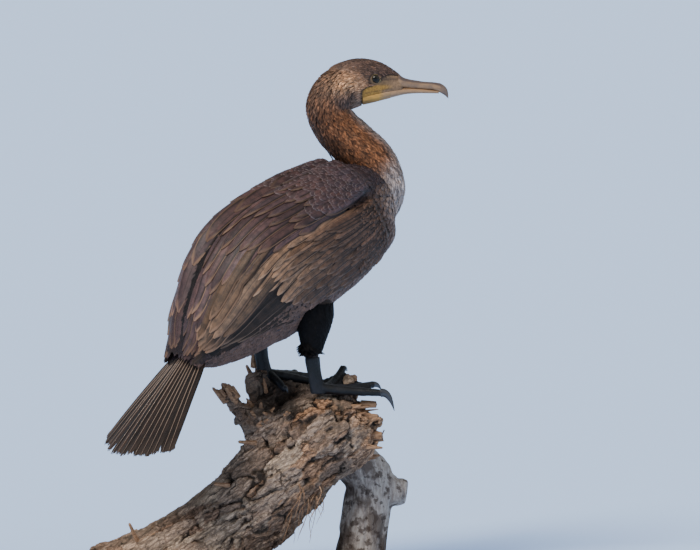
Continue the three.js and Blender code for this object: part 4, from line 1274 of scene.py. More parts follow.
# Rows of laid feathers. Each has the lines of its roots and of its tips, as stations and degrees from
# the back's ridge, then its count, half width and lift.
# Flight feathers and the lowest coverts go on with rise, tint, edge and spread.
PRIMARY_ROWS = (
    ([[6.9, 88], [6.8, 112]], [[10.5, 58], [10.3, 80], [9.8, 104]],
     8, 7.6, -0.4, 1.2, FLIGHT, FLIGHT * 5, 0.05),
)
SECONDARY_ROWS = (
    ([[5.6, 82], [5.3, 120]], [[9.4, 80], [8.8, 96], [7.1, 126]],
     13, 7.0, 0.0, 1.6, FLIGHT * 1.5, COVERT_EDGE * 0.7, 0.05),
    ([[6.2, 40], [6.0, 80]], [[9.6, 44], [9.95, 60], [9.8, 78]],
     5, 9.4, 1.2, 1.8, TERTIAL * 0.62, SHOULDER_EDGE * 1.3, 0.12),
    ([[5.8, 50], [5.6, 82]], [[8.8, 50], [9.2, 66], [8.8, 82]],
     4, 8.8, 2.6, 2.0, TERTIAL * 0.8, SHOULDER_EDGE, 0.12),
    ([[7.0, 8], [7.0, 46]], [[9.9, 6], [10.3, 28], [10.1, 52]],
     6, 9.6, 0.3, 1.6, SHOULDER * 0.8, SHOULDER_EDGE * 0.7, 0.12),
)
LOWEST_COVERTS = (
    [[3.2, 122], [5.4, 130]], [[5.0, 131], [7.4, 126]],
    9, 4.8, 0.3, 1.0, LOW_COVERT, LOW_COVERT * 4, 0.05,
)
# Coverts go on with how pale their edges are.
COVERT_ROWS = (
    ([[5.6, 68], [4.8, 98], [3.7, 124]], [[7.6, 74], [6.8, 102], [5.1, 130]], 13, 6.4, 1.0, 1.0),
    ([[4.9, 69], [4.3, 97], [3.4, 122]], [[6.8, 73], [6.0, 100], [4.7, 128]], 14, 6.2, 1.8, 0.8),
    ([[4.4, 70], [3.9, 96], [3.15, 120]], [[6.1, 73], [5.4, 99], [4.3, 126]], 14, 6.0, 2.6, 0.6),
    ([[3.9, 74], [3.5, 95], [3.0, 117]], [[5.5, 75], [4.9, 98], [3.95, 124]], 15, 5.4, 3.3, 0.45),
    ([[3.4, 78], [3.15, 94], [2.95, 114]], [[4.9, 78], [4.4, 97], [3.65, 121]], 16, 5.0, 3.9, 0.35),
)
# Scapulars go on with how light they are and how pale their edges are.
SCAPULAR_ROWS = (
    ([[6.0, 8], [6.4, 30], [6.1, 56]], [[8.8, 10], [9.1, 30], [8.1, 56]], 6, 11.0, 0.4, 1.25, 1.0),
    ([[5.1, 6], [5.4, 34], [5.1, 62]], [[7.5, 8], [7.9, 36], [7.1, 61]], 7, 10.2, 1.3, 1.1, 0.85),
    ([[4.4, 5], [4.6, 36], [4.3, 66]], [[6.6, 7], [6.9, 38], [6.2, 66]], 8, 9.4, 2.2, 1.0, 0.6),
    ([[3.7, 5], [3.9, 38], [3.7, 66]], [[5.8, 6], [6.0, 40], [5.4, 69]], 9, 8.8, 3.0, 0.95, 0.45),
    ([[3.1, 5], [3.3, 38], [3.1, 63]], [[5.0, 6], [5.2, 40], [4.6, 67]], 10, 8.0, 3.7, 0.95, 0.35),
)


def covert_tint(tips, count):
    """Coverts are palest at the wing's inner rear and darken towards the wrist and the lower edge."""
    place = polyline(tips, count)
    pale = smooth(place[:, 0], 4.8, 7.4) * smooth(118 - place[:, 1], 0, 34)
    return blend(COVERT, PALE_COVERT, pale)


def side_spots(rng, side, stations, degrees, gap):
    """Places on one side of the body, between two stations and two angles off the back's ridge."""
    spots = scattered(rng, body_at, stations, np.radians(degrees), gap)
    spots[:, 1] *= OUTWARD[side]
    return spots


class CORMORANT_OT_wings(bpy.types.Operator):
    """Lays the folded wings: primaries, secondaries, tertials and the rows of coverts"""

    bl_idname = "cormorant.wings"
    bl_label = "Wings"

    def execute(self, context):
        for k, side in enumerate(OUTWARD):
            rng = np.random.default_rng(SEED + 10 + k)
            flight = plumage(
                "flight_vanes_" + side, 0.55, (0.05, 0.035, 0.03), 0.6,
                barbs=46, rough=0.42, rim_start=0.80, side_shade=0.85,
            )
            for part, rows in (("primaries", PRIMARY_ROWS), ("secondaries", SECONDARY_ROWS)):
                flock = Flock()
                for row in rows:
                    wing_row(rng, flock, side, *row)
                flock.piece(part + "_" + side, flight, "flight_feathers", ("wing_" + side + "_" + part,))
            covert = plumage(
                "covert_vanes_" + side, 0.75, (0.03, 0.02, 0.018), 0.5, barbs=30, rough=0.42, side_shade=1.0
            )
            flock = Flock()
            wing_row(rng, flock, side, *LOWEST_COVERTS)
            for roots, tips, count, half, lift, pale in COVERT_ROWS:
                tint = covert_tint(tips, count)
                edge = tint * 1.2 + COVERT_EDGE * 0.4 * pale
                wing_row(rng, flock, side, roots, tips, count, half, lift, 1.9, tint, edge, spread=0.16)
            spots = hind_first(side_spots(rng, side, (2.85, 4.0), (79, 122), 6.0))
            size = np.interp(spots[:, 0], [2.8, 4.2], [13, 19])
            tint = np.tile(COVERT, (len(spots), 1))
            small_feathers(
                rng, flock, body_at, spots, size, size * 0.27, tint, tint * 3.0, body_bake(spots),
                lift=3.2, rise=2.4, rows=7, cols=5, jitter=0.12, camber=1.1,
            )
            flock.piece("coverts_" + side, covert, "covert_feathers", ("wing_" + side + "_coverts",))
        return {"FINISHED"}


class CORMORANT_OT_scapulars(bpy.types.Operator):
    """Lays the shoulder feathers over the wings"""

    bl_idname = "cormorant.scapulars"
    bl_label = "Scapulars"

    def execute(self, context):
        for k, side in enumerate(OUTWARD):
            rng = np.random.default_rng(SEED + 20 + k)
            flock = Flock()
            for roots, tips, count, half, lift, light, pale in SCAPULAR_ROWS:
                tint, edge = SHOULDER * light, SHOULDER_EDGE * pale
                wing_row(rng, flock, side, roots, tips, count, half, lift, 2.2, tint, edge, spread=0.15)
            spots = side_spots(rng, side, (2.2, 5.0), (6, 66), 5.6)
            spots = spots[rng.uniform(0, 1, len(spots)) > 0.9 * smooth(spots[:, 0], 3.9, 5.0)]
            spots = hind_first(spots)
            size = np.interp(spots[:, 0], [2.2, 3.8, 5.0], [11.5, 16, 27])
            tint = blend(MANTLE * 1.5, SHOULDER, smooth(spots[:, 0], 3.0, 4.6))
            edge = np.tile(MANTLE_EDGE * 1.3, (len(spots), 1))
            small_feathers(
                rng, flock, body_at, spots, size, size * 0.33, tint, edge, body_bake(spots),
                lift=4.4, rise=2.4, rows=7, cols=5, jitter=0.06, camber=1.3,
            )
            vanes = plumage(
                "scapular_vanes_" + side, 0.7, (0.015, 0.010, 0.009), 0.5,
                barbs=34, rough=0.4, gloss=0.26, side_shade=0.9,
            )
            flock.piece("scapulars_" + side, vanes, "covert_feathers", ("wing_" + side + "_scapulars",))
        return {"FINISHED"}


TAIL_PITCH = math.radians(51)
TAIL_ROOT = np.array([-163.0, 0.0, 78.0])
TAIL_DOWN = np.array([-math.cos(TAIL_PITCH), 0.0, -math.sin(TAIL_PITCH)])
TAIL_OVER = np.array([-math.sin(TAIL_PITCH), 0.0, math.cos(TAIL_PITCH)])


def tail_plane(u, v, lift=0.0):
    """The tail's slightly roofed plane: u down its length and v to the left, in millimetres."""
    u, v, lift = np.broadcast_arrays(np.asarray(u, float), np.asarray(v, float), np.asarray(lift, float))
    height = lift - 0.0012 * v**2 - 4.0 * (u / 200) ** 2
    aside = v[..., None] * np.array([0.0, 1.0, 0.0])
    return TAIL_ROOT + u[..., None] * TAIL_DOWN + aside + height[..., None] * TAIL_OVER


class CORMORANT_OT_tail(bpy.types.Operator):
    """Fans the stiff tail feathers, with pale shafts and worn tips"""

    bl_idname = "cormorant.tail"
    bl_label = "Tail"

    def execute(self, context):
        settings = context.scene.cormorant_plumage
        rng = np.random.default_rng(SEED + 30)
        count = settings.tail_count
        place = np.clip(np.linspace(-1, 1, count) + rng.uniform(-0.035, 0.035, count), -1, 1)
        heading = np.radians(np.where(place < 0, 16.5, 21.5)) * place + rng.normal(0, 0.008, count)
        long = 198 - 16 * place**2 + rng.uniform(-5, 1, count)
        root = np.stack([np.full(count, -4.0), 22 * place], -1)
        tip = root + np.stack([long * np.cos(heading), long * np.sin(heading)], -1)
        lift = 4.6 - 5.5 * np.abs(place)
        shape = lambda s: leaf(s, 0.72, 0.42)
        rows, columns = 34, 17
        points = feathers(
            tail_plane, root, tip, 9.4, lift, 0.6, camber=0.9, rows=rows, cols=columns, shape=shape
        )
        # Worn tips: the barbs at a vane's end stop unevenly.
        uneven = rng.uniform(0, 1, (count, columns)) ** 2 * 5.5
        back = (np.abs(np.linspace(-1, 1, columns))[None, :] ** 3 * 5 + uneven)[:, None, :, None]
        share = smooth(np.linspace(0, 1, rows), 0.93, 1.0)[None, :, None, None]
        points = points - back * share * TAIL_DOWN
        flock = Flock()
        tint = varied(rng, np.tile(TAIL_VANE, (count, 1)), 0.35)
        bake = bake_place(0.9 + 0.1 * np.abs(place), 0.5 + 0.4 * place, "body")
        flock.add(points, tint, np.tile([0.045, 0.030, 0.022], (count, 1)), bake)
        vane = plumage("tail_vanes", 0.5, barbs=70, root_shade=0.2, rim_start=0.93)
        flock.piece("tail_vane_feathers", vane, "flight_feathers", ("tail",))
        shafts = []
        for k in range(count):
            mid = points[k, :, columns // 2] + TAIL_OVER * 0.2
            radius = np.linspace(0.9, 0.2, len(mid))[:, None]
            shafts.append(tube(np.concatenate([mid, radius], 1)[::3], 8, 30))
        quill = quill_finish(tuple(settings.tail_shaft))
        finish_piece(merged(shafts), "tail_shafts", quill, ("tail",))
        return {"FINISHED"}


class CORMORANT_OT_tail_coverts(bpy.types.Operator):
    """Lays the longer feathers over and under the tail's root"""

    bl_idname = "cormorant.tail_coverts"
    bl_label = "Tail coverts"

    def execute(self, context):
        rng = np.random.default_rng(SEED + 31)
        flock = Flock()
        spots = hind_first(scattered(rng, body_at, (8.6, 9.95), AROUND, 7.0))
        size = np.interp(spots[:, 0], [8.6, 10.0], [20, 18])
        tint = blend(SHOULDER * 0.6, BELLY, smooth(np.abs(np.degrees(spots[:, 1])), 60, 90))
        small_feathers(
            rng, flock, body_at, spots, size, size * 0.2, tint, tint * 2.2, body_bake(spots),
            lift=0.3, rise=1.4, jitter=0.1, rows=7, cols=5,
        )
        for over in (1.0, -1.0):
            count = 90
            root = np.stack([rng.uniform(-14, 12, count), rng.uniform(-25, 25, count)], -1)
            root = hind_first(root)
            tip = root * np.array([1.0, 1.25]) + np.stack([rng.uniform(20, 32, count), np.zeros(count)], -1)

            def plane(u, v, lift=0.0):
                return tail_plane(u, v, over * (np.asarray(lift) + 5.0 * smooth(12 - u, 0, 26)))

            points = feathers(plane, root, tip, 5.5, 2.6 * (over > 0) + 1.4, 0.4, camber=0.8, rows=8, cols=5)
            tint = varied(rng, np.tile(SHOULDER * 0.55, (count, 1)), 0.2)
            bake = bake_place(0.86 + root[:, 0] / 400, 0.5 + root[:, 1] / 80, "body")
            flock.add(points, tint, tint * 2.5, bake)
        flock.piece("tail_coverts", plumage("tail_covert_vanes", 0.6, barbs=24), "body_plumage")
        return {"FINISHED"}


class CORMORANT_OT_bill(bpy.types.Operator):
    """Shapes the hooked bill and the bare throat"""

    bl_idname = "cormorant.bill"
    bl_label = "Bill"

    def execute(self, context):
        bare = context.scene.cormorant_bare
        horn, pouch = np.array(bare.horn), np.array(bare.pouch)

        def upper(t, a):
            groove = -0.6 * np.exp(-(((np.abs(np.degrees(a)) - 50) / 8) ** 2)) * smooth(6.2 - t, 0, 1.5)
            nail = 0.4 * smooth(t, 6.7, 7.1) * smooth(10 - t, 0, 1)
            return turn_head(section_at(UPPER_BILL, t, a, groove + nail, 2.4))

        def lower(t, a):
            return turn_head(section_at(LOWER_BILL, t, a, 0.0, 2.3))

        mesh = to_mesh(shell(64, 170, capped(upper, 0.0, len(UPPER_BILL) - 1)), "upper_bill_horn")
        local = head_local(points_of(mesh))
        ridge = smooth(local[:, 2] - np.interp(local[:, 0], UPPER_BILL[:, 0], UPPER_BILL[:, 1]), 1.6, 3.8)
        tint = blend(np.tile(horn, (len(local), 1)), [0.060, 0.046, 0.048], ridge * 0.9)
        horny = np.maximum(smooth(local[:, 0], 22, 36), ridge * 0.8)
        tint = blend(face_tint(local, pouch, horn), tint, horny)
        tint = blend(tint, [0.17, 0.115, 0.085], smooth(local[:, 0], 84, 94))
        paint(mesh, "Tint", tint)
        finish_piece(mesh, "upper_bill_horn", bill_finish(0.45), ("upper_bill",))

        mesh = to_mesh(shell(56, 140, capped(lower, 2.0, len(LOWER_BILL) - 1)), "lower_bill_horn")
        local = head_local(points_of(mesh))
        paint(mesh, "Tint", blend(face_tint(local, pouch, horn), horn, smooth(local[:, 0], 10, 22)))
        finish_piece(mesh, "lower_bill_horn", bill_finish(0.1), ("lower_bill",))

        def throat(t, a):
            fold = 0.4 * np.sin(np.degrees(a) / 7.0) * smooth(np.abs(np.degrees(a)), 100, 140)
            return turn_head(section_at(LOWER_BILL, t, a, 0.25 + fold, 2.3))

        mesh = to_mesh(shell(80, 60, capped(throat, 0.0, 2.6)), "throat_skin")
        local = head_local(points_of(mesh))
        tint = blend(np.tile(pouch, (len(local), 1)), horn, smooth(local[:, 0], 3, 14))
        tint = blend(tint, [0.20, 0.11, 0.035], smooth(-26 - local[:, 2], 0, 7))
        paint(mesh, "Tint", tint)
        finish_piece(mesh, "throat_skin", pouch_finish(), ("gular_pouch",))
        return {"FINISHED"}


# How far the eye's middle and its ring lie from the head's mid plane, and the ring's radius.
EYE_ASIDE, LID_ASIDE, LID_REACH = 13.2, 16.5, 6.0


class CORMORANT_OT_eyes(bpy.types.Operator):
    """Sets the eyes and the bare beaded ring round each"""

    bl_idname = "cormorant.eyes"
    bl_label = "Eyes"

    def execute(self, context):
        bare = context.scene.cormorant_bare
        ball, ring = eye_finish(), pouch_finish()
        for side, sign in (("left", 1.0), ("right", -1.0)):
            centre = np.array([0.0, EYE_ASIDE * sign, 0.0])
            bm = bmesh.new()
            bmesh.ops.create_uvsphere(bm, u_segments=48, v_segments=32, radius=1.0)
            quarter = Matrix.Rotation(math.radians(90), 3, "X")
            bmesh.ops.rotate(bm, verts=bm.verts, matrix=quarter, cent=(0, 0, 0))
            local = np.array([v.co[:] for v in bm.verts])
            away = np.hypot(local[:, 0], local[:, 2])
            iris = smooth(away, 0.42, 0.47) * smooth(local[:, 1] * sign, 0.0, 0.2)
            rim = smooth(away, 0.68, 0.76)
            tint = blend(np.tile([0.003, 0.003, 0.004], (len(local), 1)), bare.iris, iris)
            tint = blend(tint, [0.008, 0.006, 0.005], rim)
            for vert, point in zip(bm.verts, seat(turn_head(local * bare.eye_radius + centre))):
                vert.co = point
            bmesh.ops.recalc_face_normals(bm, faces=bm.faces)
            mesh = to_mesh(bm, "eye_globe_" + side)
            paint(mesh, "Tint", tint)
            finish_piece(mesh, "eye_globe_" + side, ball, ("eye_" + side,))

            def lid(u, v):
                around, across = u * 2 * math.pi, v * 2 * math.pi
                outer = np.maximum(np.cos(across), 0)
                beads = 0.14 * np.sin(around * 26) * outer
                reach = LID_REACH + (1.15 + beads) * np.cos(across) + 0.35 * outer
                slant = 0.32 * np.maximum(reach - LID_REACH, 0)
                aside = LID_ASIDE + (1.0 + beads) * np.sin(across) - slant
                x, z = reach * np.cos(around) * 1.04, reach * np.sin(around) * 0.95
                return turn_head(np.stack([x, aside * sign, z], -1))

            mesh = to_mesh(shell(156, 20, lid), "eye_ring_" + side)
            places = head_local(points_of(mesh))
            reach = np.hypot(places[:, 0], places[:, 2])
            dark = np.tile([0.035, 0.022, 0.012], (len(places), 1))
            paint(mesh, "Tint", blend(dark, [0.19, 0.135, 0.06], smooth(reach, 5.8, 6.8)))
            finish_piece(mesh, "eye_ring_" + side, ring)
        return {"FINISHED"}


# The shank below the thigh, from the ankle to the sole: x, y, z, half depth, half width.
SHANK = np.array([
    [-9, 0, 52, 10.6, 7.4], [-9, 0, 46.5, 11.2, 7.4], [-6, 0, 30, 10.4, 6.4], [-2, 0, 14, 11.2, 7.0],
    [2, 0, 2, 12.6, 8.4],
], float)
# Each toe: degrees outward from the heading, length, drop at its end, claw length, claw hook.
TOES = {
    "right": {
        "outer": (35, 84, 3, 21, 30), "middle": (8, 80, -5, 17, 11), "inner": (-22, 57, -27, 13, 7),
        "hind": (-62, 36, -12, 10, 6),
    },
    "left": {
        "outer": (30, 84, 4, 19, 14), "middle": (5, 80, 6, 17, 12), "inner": (-22, 57, 8, 13, 9),
        "hind": (-82, 34, 17, 9, 8),
    },
}
TOE_PLACES = [0, 0.3, 0.6, 0.85, 1]


def toe_line(side, name, f):
    """The middle of a toe at share f of its length."""
    out, long, drop = TOES[side][name][:3]
    heel = HEELS[side] + np.array([0, 0, 8.0])
    turn = math.radians(out) * -OUTWARD[side]
    start = np.array([4.0, 0.0, 0.0])
    f = np.asarray(f, float)
    reach = f * long
    z = -drop * f**2 + np.interp(f, TOE_PLACES, [1, -1.5, -2.5, -2.5, -2.5])
    return heel + start + np.stack([reach * math.cos(turn), reach * math.sin(turn), z], -1)


class CORMORANT_OT_legs(bpy.types.Operator):
    """Shapes the scaled legs, the four webbed toes of each foot and the claws"""

    bl_idname = "cormorant.legs"
    bl_label = "Legs and feet"

    def execute(self, context):
        web = context.scene.cormorant_bare.web
        scutes, horn = leg_finish(), claw_finish()
        for side, flip in OUTWARD.items():
            heel = HEELS[side]

            def shank(t, a):
                s = curve(SHANK, t)
                rings = 0.35 * np.abs(np.sin(t * 14)) * smooth(np.cos(a), 0.2, 0.8)
                return np.stack([
                    heel[0] + s[..., 0] + (s[..., 3] + rings) * np.cos(a),
                    heel[1] + flip * (s[..., 1] + (s[..., 4] + rings * 0.4) * np.sin(a)),
                    heel[2] + s[..., 2] + 0 * a,
                ], -1)

            parts = [shell(40, 90, capped(shank, 0.0, 4.0))]
            for name in TOES[side]:
                f = np.linspace(0, 1, 61)
                mid = toe_line(side, name, f)
                joints = 1.5 if name == "hind" else 3
                knuckles = 0.45 * np.maximum(np.cos((f - 0.02) * 2 * math.pi * joints), 0) ** 2
                radius = np.interp(f, TOE_PLACES, [7.2, 6.3, 5.7, 5.1, 4.5]) + knuckles
                if name == "hind":
                    radius = radius * 0.86
                table = np.concatenate([mid, radius[:, None]], 1)
                parts.append(tube(table, 24, 120))
            for first, second in (("outer", "middle"), ("middle", "inner"), ("inner", "hind")):
                if (first, second) == ("inner", "hind") and side == "left":
                    continue

                def sheet(u, v):
                    reach = 0.03 + 0.93 * v
                    a, b = toe_line(side, first, reach), toe_line(side, second, reach)
                    share = u[..., None]
                    middle = np.sin(math.pi * u)
                    hollow = (1 - 0.07 * middle * v)[..., None]
                    base = toe_line(side, first, 0.0 * reach)
                    mid = a * (1 - share) + b * share
                    mid = base + (mid - base) * hollow
                    mid[..., 2] -= 1.2 + 1.6 * middle * v - 0.5 * np.sin(u * 34) * v * middle
                    return mid

                bm = shell(40, 40, sheet, close=False)
                bmesh.ops.recalc_face_normals(bm, faces=bm.faces)
                bmesh.ops.solidify(bm, geom=bm.faces[:], thickness=web / MM)
                parts.append(bm)
            mesh = fused(merged(parts), voxel=0.9, relax=2)
            swell(mesh, noise(points_of(mesh) * np.array([1, 1, 1.4]), 1.6, 3) * 0.16)
            finish_piece(mesh, "leg_" + side, scutes, ("shank_" + side, "foot_" + side))
            for name, (*_, claw, hook) in TOES[side].items():
                end = toe_line(side, name, 1.0)
                ahead = unit(toe_line(side, name, 1.0) - toe_line(side, name, 0.92))
                flat = unit(ahead * np.array([1.0, 1.0, 0.0]))
                f = np.linspace(0, 1, 9)
                path = end + ahead * -3.0 + flat * (claw * (f * (1.15 - 0.25 * f)))[:, None]
                path[:, 2] += 2.4 * np.sin(math.pi * f * 0.6) - hook * f**2 * 0.9
                radius = (5.6 if name == "outer" else 4.2) * (1 - f**1.7) + 0.35
                mesh = to_mesh(tube(np.concatenate([path, radius[:, None]], 1), 24, 40, 0.8), "claw")
                label = "claw_" + side + "_" + name
                finish_piece(mesh, label + "_horn", horn, (label,))
        return {"FINISHED"}


# The perch's rows are in the branch's frame, which is the bird's turned to the branch.
# The log, the fork and its stub: x, y, z and radius.
LOG = np.array([
    [-310, -5, -292, 64], [-154, -3, -226, 64], [-78, -2, -168, 63], [-20, -4, -108, 64], [22, -5, -64, 58],
], float)
# The ball of wood at the log's upper end, under the feet.
CROWN_PLACE = np.array([30.0, -5.0, -58.0])
CROWN_SIZE = np.array([78.0, 64.0, 60.0])
FORK = np.array([[66, 30, -88, 30], [96, 40, -124, 33], [92, 42, -160, 33], [82, 42, -232, 34]], float)
STUB = np.array([[100, 40, -136, 25], [126, 42, -138, 21], [146, 42, -141, 17]], float)
# Thick splinters of the crown: x, y, z at the root and at the end, and the radius at each.
SPLINTERS = np.array([
    [-40, 18, -40, -60, 24, 26, 25, 15], [-50, -18, -62, -98, -26, 2, 17, 10],
    [-30, -8, -60, -68, -8, -24, 32, 20], [-48, 22, -13, 16, 56, -13, 29, 25],
    [70, -20, -34, 112, -24, -40, 15, 9], [70, 12, -60, 118, 10, -62, 12, 8],
    [64, 4, -40, 70, -2, 22, 16, 9],
], float)
# Single shards that stick out of the torn end: start, length and thickness.
TORN = (
    ((84, -20, -56), 30, 7.5), ((86, -26, -30), 22, 5.0), ((82, -18, -14), 24, 5.5),
    ((80, -4, -36), 30, 6.0),
)
# Spurs of the lower log: start, way and length.
SPURS = (
    ((-92, -46, -122), (-1, -0.2, 0.12), 24), ((-56, -34, -66), (-1, -0.3, 0.12), 28),
    ((-214, -30, -208), (-0.45, -0.3, 1), 40), ((-212, -34, -200), (0.9, -0.3, 0.6), 26),
)
# The broken ends of the stump's splinters, each with the way it points.
BROKEN = (((-98, -26, 2), (-48, -8, 64)), ((-60, 24, 26), (-20, 6, 66)), ((-68, -8, -24), (-38, 0, 36)))
# Where the log is cut off, the slope of its cut face, and how low the bark and the fork reach.
LOG_CUT, CUT_SLOPE = np.array([-286.0, 0.0, -280.0]), 27
BARK_FOOT, FORK_FOOT = -220.0, -227.6
BARK_TINTS = np.array([
    [0.250, 0.178, 0.132], [0.310, 0.232, 0.172], [0.170, 0.108, 0.074], [0.280, 0.155, 0.088],
])
# The share of plates up to each tint but the last.
BARK_SHARES = [0.42, 0.72, 0.92]


def wood_tube(table, across, along):
    """A tube along a table of x, y, z, radius rows in the branch's frame."""
    table = np.asarray(table, float)
    moved = np.concatenate([wood_frame(table[:, :3]), table[:, 3:]], 1)
    return tube(moved, across, along)


def wood_axis(slope):
    """The way a log of this slope in degrees rises, in the bird's frame."""
    return wood_frame(np.array([math.cos(math.radians(slope)), 0.0, math.sin(math.radians(slope))]))


def plates(points, size, stretch, seed):
    """Cells of split bark: each point's own cell, its distance from a crack, and its place in the cell."""
    rng = np.random.default_rng(seed)
    q = points * np.asarray(stretch) / size
    low, high = q.min(0) - 1, q.max(0) + 1
    ranges = [np.arange(a, b) for a, b in zip(low, high)]
    grid = np.stack(np.meshgrid(*ranges, indexing="ij"), -1).reshape(-1, 3)
    seeds = grid + rng.uniform(0, 1, grid.shape)
    tree = kdtree.KDTree(len(seeds))
    for k, place in enumerate(seeds):
        tree.insert(place, k)
    tree.balance()
    cell = np.empty(len(q), int)
    gap = np.empty(len(q))
    for k, place in enumerate(q):
        near = tree.find_n(place, 2)
        cell[k] = near[0][1]
        gap[k] = near[1][2] - near[0][2]
    return cell, gap * size, (q - seeds[cell]) * size


def rough_log():
    """The log, its crown and the thick splinters as one mesh, cut to length."""
    parts = [wood_tube(LOG, 64, 90)]
    bm = bmesh.new()
    bmesh.ops.create_icosphere(bm, subdivisions=5, radius=1.0)
    for vert in bm.verts:
        vert.co = Vector(seat(wood_frame(CROWN_PLACE + np.array(vert.co) * CROWN_SIZE)))
    parts.append(bm)
    for x0, y0, z0, x1, y1, z1, thick, thin in SPLINTERS:
        f = np.linspace(0, 1, 5)[:, None]
        line = np.array([x0, y0, z0]) * (1 - f) + np.array([x1, y1, z1]) * f
        parts.append(wood_tube(np.concatenate([line, thick * (1 - f) + thin * f], 1), 24, 30))
    whole = fused(merged(parts), voxel=3.0, relax=3)
    cuts = ((seat(wood_frame(LOG_CUT)), -wood_axis(CUT_SLOPE)), (seat([0, 0, BARK_FOOT]), (0, 0, -1)))
    return fused(sawn(whole, "branch_bark", cuts), voxel=1.75)


def carve_bark(mesh):
    """Raises the plates, sinks the cracks between them and paints both, with painted shade in the cracks and
    in the hollow.
    """
    place = points_of(mesh)
    wood = np.stack([place @ BRANCH_X, place @ BRANCH_Y, place[:, 2]], -1)
    x, z = wood[:, 0], wood[:, 2]
    c, s = math.cos(BRANCH_RISE), math.sin(BRANCH_RISE)
    lie = np.stack([x * c + z * s, wood[:, 1], z * c - x * s], -1)
    bent = lie + 6.0 * np.stack([noise(lie, 16, k) for k in (21, 22, 23)], -1)
    bent = bent + 1.6 * np.stack([noise(lie, 4, k) for k in (24, 25, 26)], -1)
    cell, gap, inside = plates(bent, 19.0, (0.26, 1.0, 1.0), 61)
    small, small_gap = plates(bent, 7.0, (0.35, 1.0, 1.0), 62)[:2]

    # More draws than there are cells, so that each cell has its own.
    most = 60000
    chance = np.random.default_rng(63)
    step, lean = chance.uniform(-1, 1, most), chance.normal(0, 1, (most, 3))
    pick, tone_step = chance.uniform(0, 1, most), chance.uniform(0.75, 1.25, most)
    patches = noise(lie, 30, 27) + 0.7 * noise(lie, 12, 28)
    crack = smooth(2.9 - gap, 0, 2.3) * smooth(patches, -0.35, 0.30)
    fine_crack = smooth(1.2 - small_gap, 0, 1.0) * smooth(noise(lie, 12, 29), -0.1, 0.4)
    height = 2.1 * step[cell] + 0.16 * (inside * lean[cell]).sum(-1) + 0.7 * step[small + 7]
    height += 0.9 * noise(lie * np.array([0.3, 1, 1]), 2.6, 6) - 5.5 * crack - 1.0 * fine_crack
    rugged = np.maximum(smooth(x, 62, 84), smooth(-x, 44, 58) * smooth(z, -52, -34))
    height += rugged * 3.0 * noise(lie, 9, 31)
    stump = smooth(-x, 46, 60) * smooth(z, -60, -44)
    height = height * (1 - 0.5 * stump) + stump * 1.8 * noise(lie * np.array([1, 1, 0.25]), 4, 34)
    level = smooth(place[:, 2], BARK_FOOT + 1, BARK_FOOT + 8)
    swell(mesh, (height - 0.8) * level)

    tone = BARK_TINTS[np.searchsorted(BARK_SHARES, pick[cell])] * tone_step[small][:, None]
    tone = blend(tone, [0.115, 0.072, 0.050], stump * 0.8)
    fresh = smooth(x + 12 * noise(lie, 10, 33), 66, 84)
    tone = blend(tone, [0.33, 0.19, 0.11], fresh * 0.75)
    # Painted shade in the hollow between the stump and the crown.
    hollow = smooth(x, -62, -48) * smooth(4 - x, 0, 16) * smooth(z, -34, -22)
    tone = blend(tone, [0.018, 0.015, 0.015], hollow * 0.85)
    # Painted shade in the cracks between the plates.
    crack_shade = np.maximum(smooth(crack, 0.3, 0.9), 0.3 * fine_crack)
    paint(mesh, "Tint", blend(tone, [0.010, 0.007, 0.006], crack_shade))


def shard(start, away, long, thick, blunt):
    """A straight splinter from start that tapers to a blunt share of its thickness."""
    f = np.linspace(0, 1, 6)[:, None]
    line = np.asarray(start) + unit(np.asarray(away, float)) * (long * f)
    radius = thick * (1 - (1 - blunt) * f**1.5)
    return wood_tube(np.concatenate([line, radius], 1), 6, 10)


def shards(rng):
    """The splinters of the torn end, the crown's edge, the lower log and the stump."""
    draw = rng.uniform
    made = []
    for _ in range(34):
        start = [draw(58, 84), draw(-46, 30), draw(-96, -12)]
        away = [1.0, draw(-0.3, 0.1), draw(-0.4, 0.35)]
        made.append(shard(start, away, draw(14, 32), draw(1.6, 4.5), 0.25))
    for start, long, thick in TORN:
        made.append(shard(start, [1.0, -0.1, draw(-0.1, 0.1)], long, thick, 0.8))
    for _ in range(26):
        start = [draw(-58, 60), draw(-52, 20), -24 + draw(-18, 6)]
        away = [draw(-0.6, 1), draw(-0.8, 0.2), draw(0.1, 0.6)]
        made.append(shard(start, away, draw(8, 20), draw(1.5, 3.6), 0.4))
    for start, away, long in SPURS:
        made.append(shard(start, away, long, 3.4, 0.6))
    for end, axis in BROKEN:
        axis = unit(np.array(axis, float))
        for _ in range(16):
            start = np.array(end) - draw(10, 26) * axis + rng.normal(0, 6.5, 3)
            made.append(shard(start, axis + rng.normal(0, 0.14, 3), draw(16, 30), draw(3.0, 6.0), 0.4))
    return made


def fibres(rng):
    """Bark fibres that hang from the log's under side, clear of the base."""
    lowest = -222
    made = []
    for _ in range(46):
        start = np.array([rng.uniform(-26, 34), rng.uniform(-66, -30), rng.uniform(-138, -112)])
        f = np.linspace(0, 1, 7)[:, None]
        sway = rng.normal(0, 7, (1, 3)) * f * np.array([1, 1, 0])
        sway = sway + 3 * np.sin(f * rng.uniform(3, 9)) * np.array([1, 0.5, 0])
        line = start + sway + np.array([-0.25, 0, -1]) * rng.uniform(18, 72) * f
        line[:, 2] = np.maximum(line[:, 2], lowest)
        radius = 0.2 + rng.uniform(0.3, 1.0) * (1 - f)
        made.append(wood_tube(np.concatenate([line, radius], 1), 5, 14))
    return made


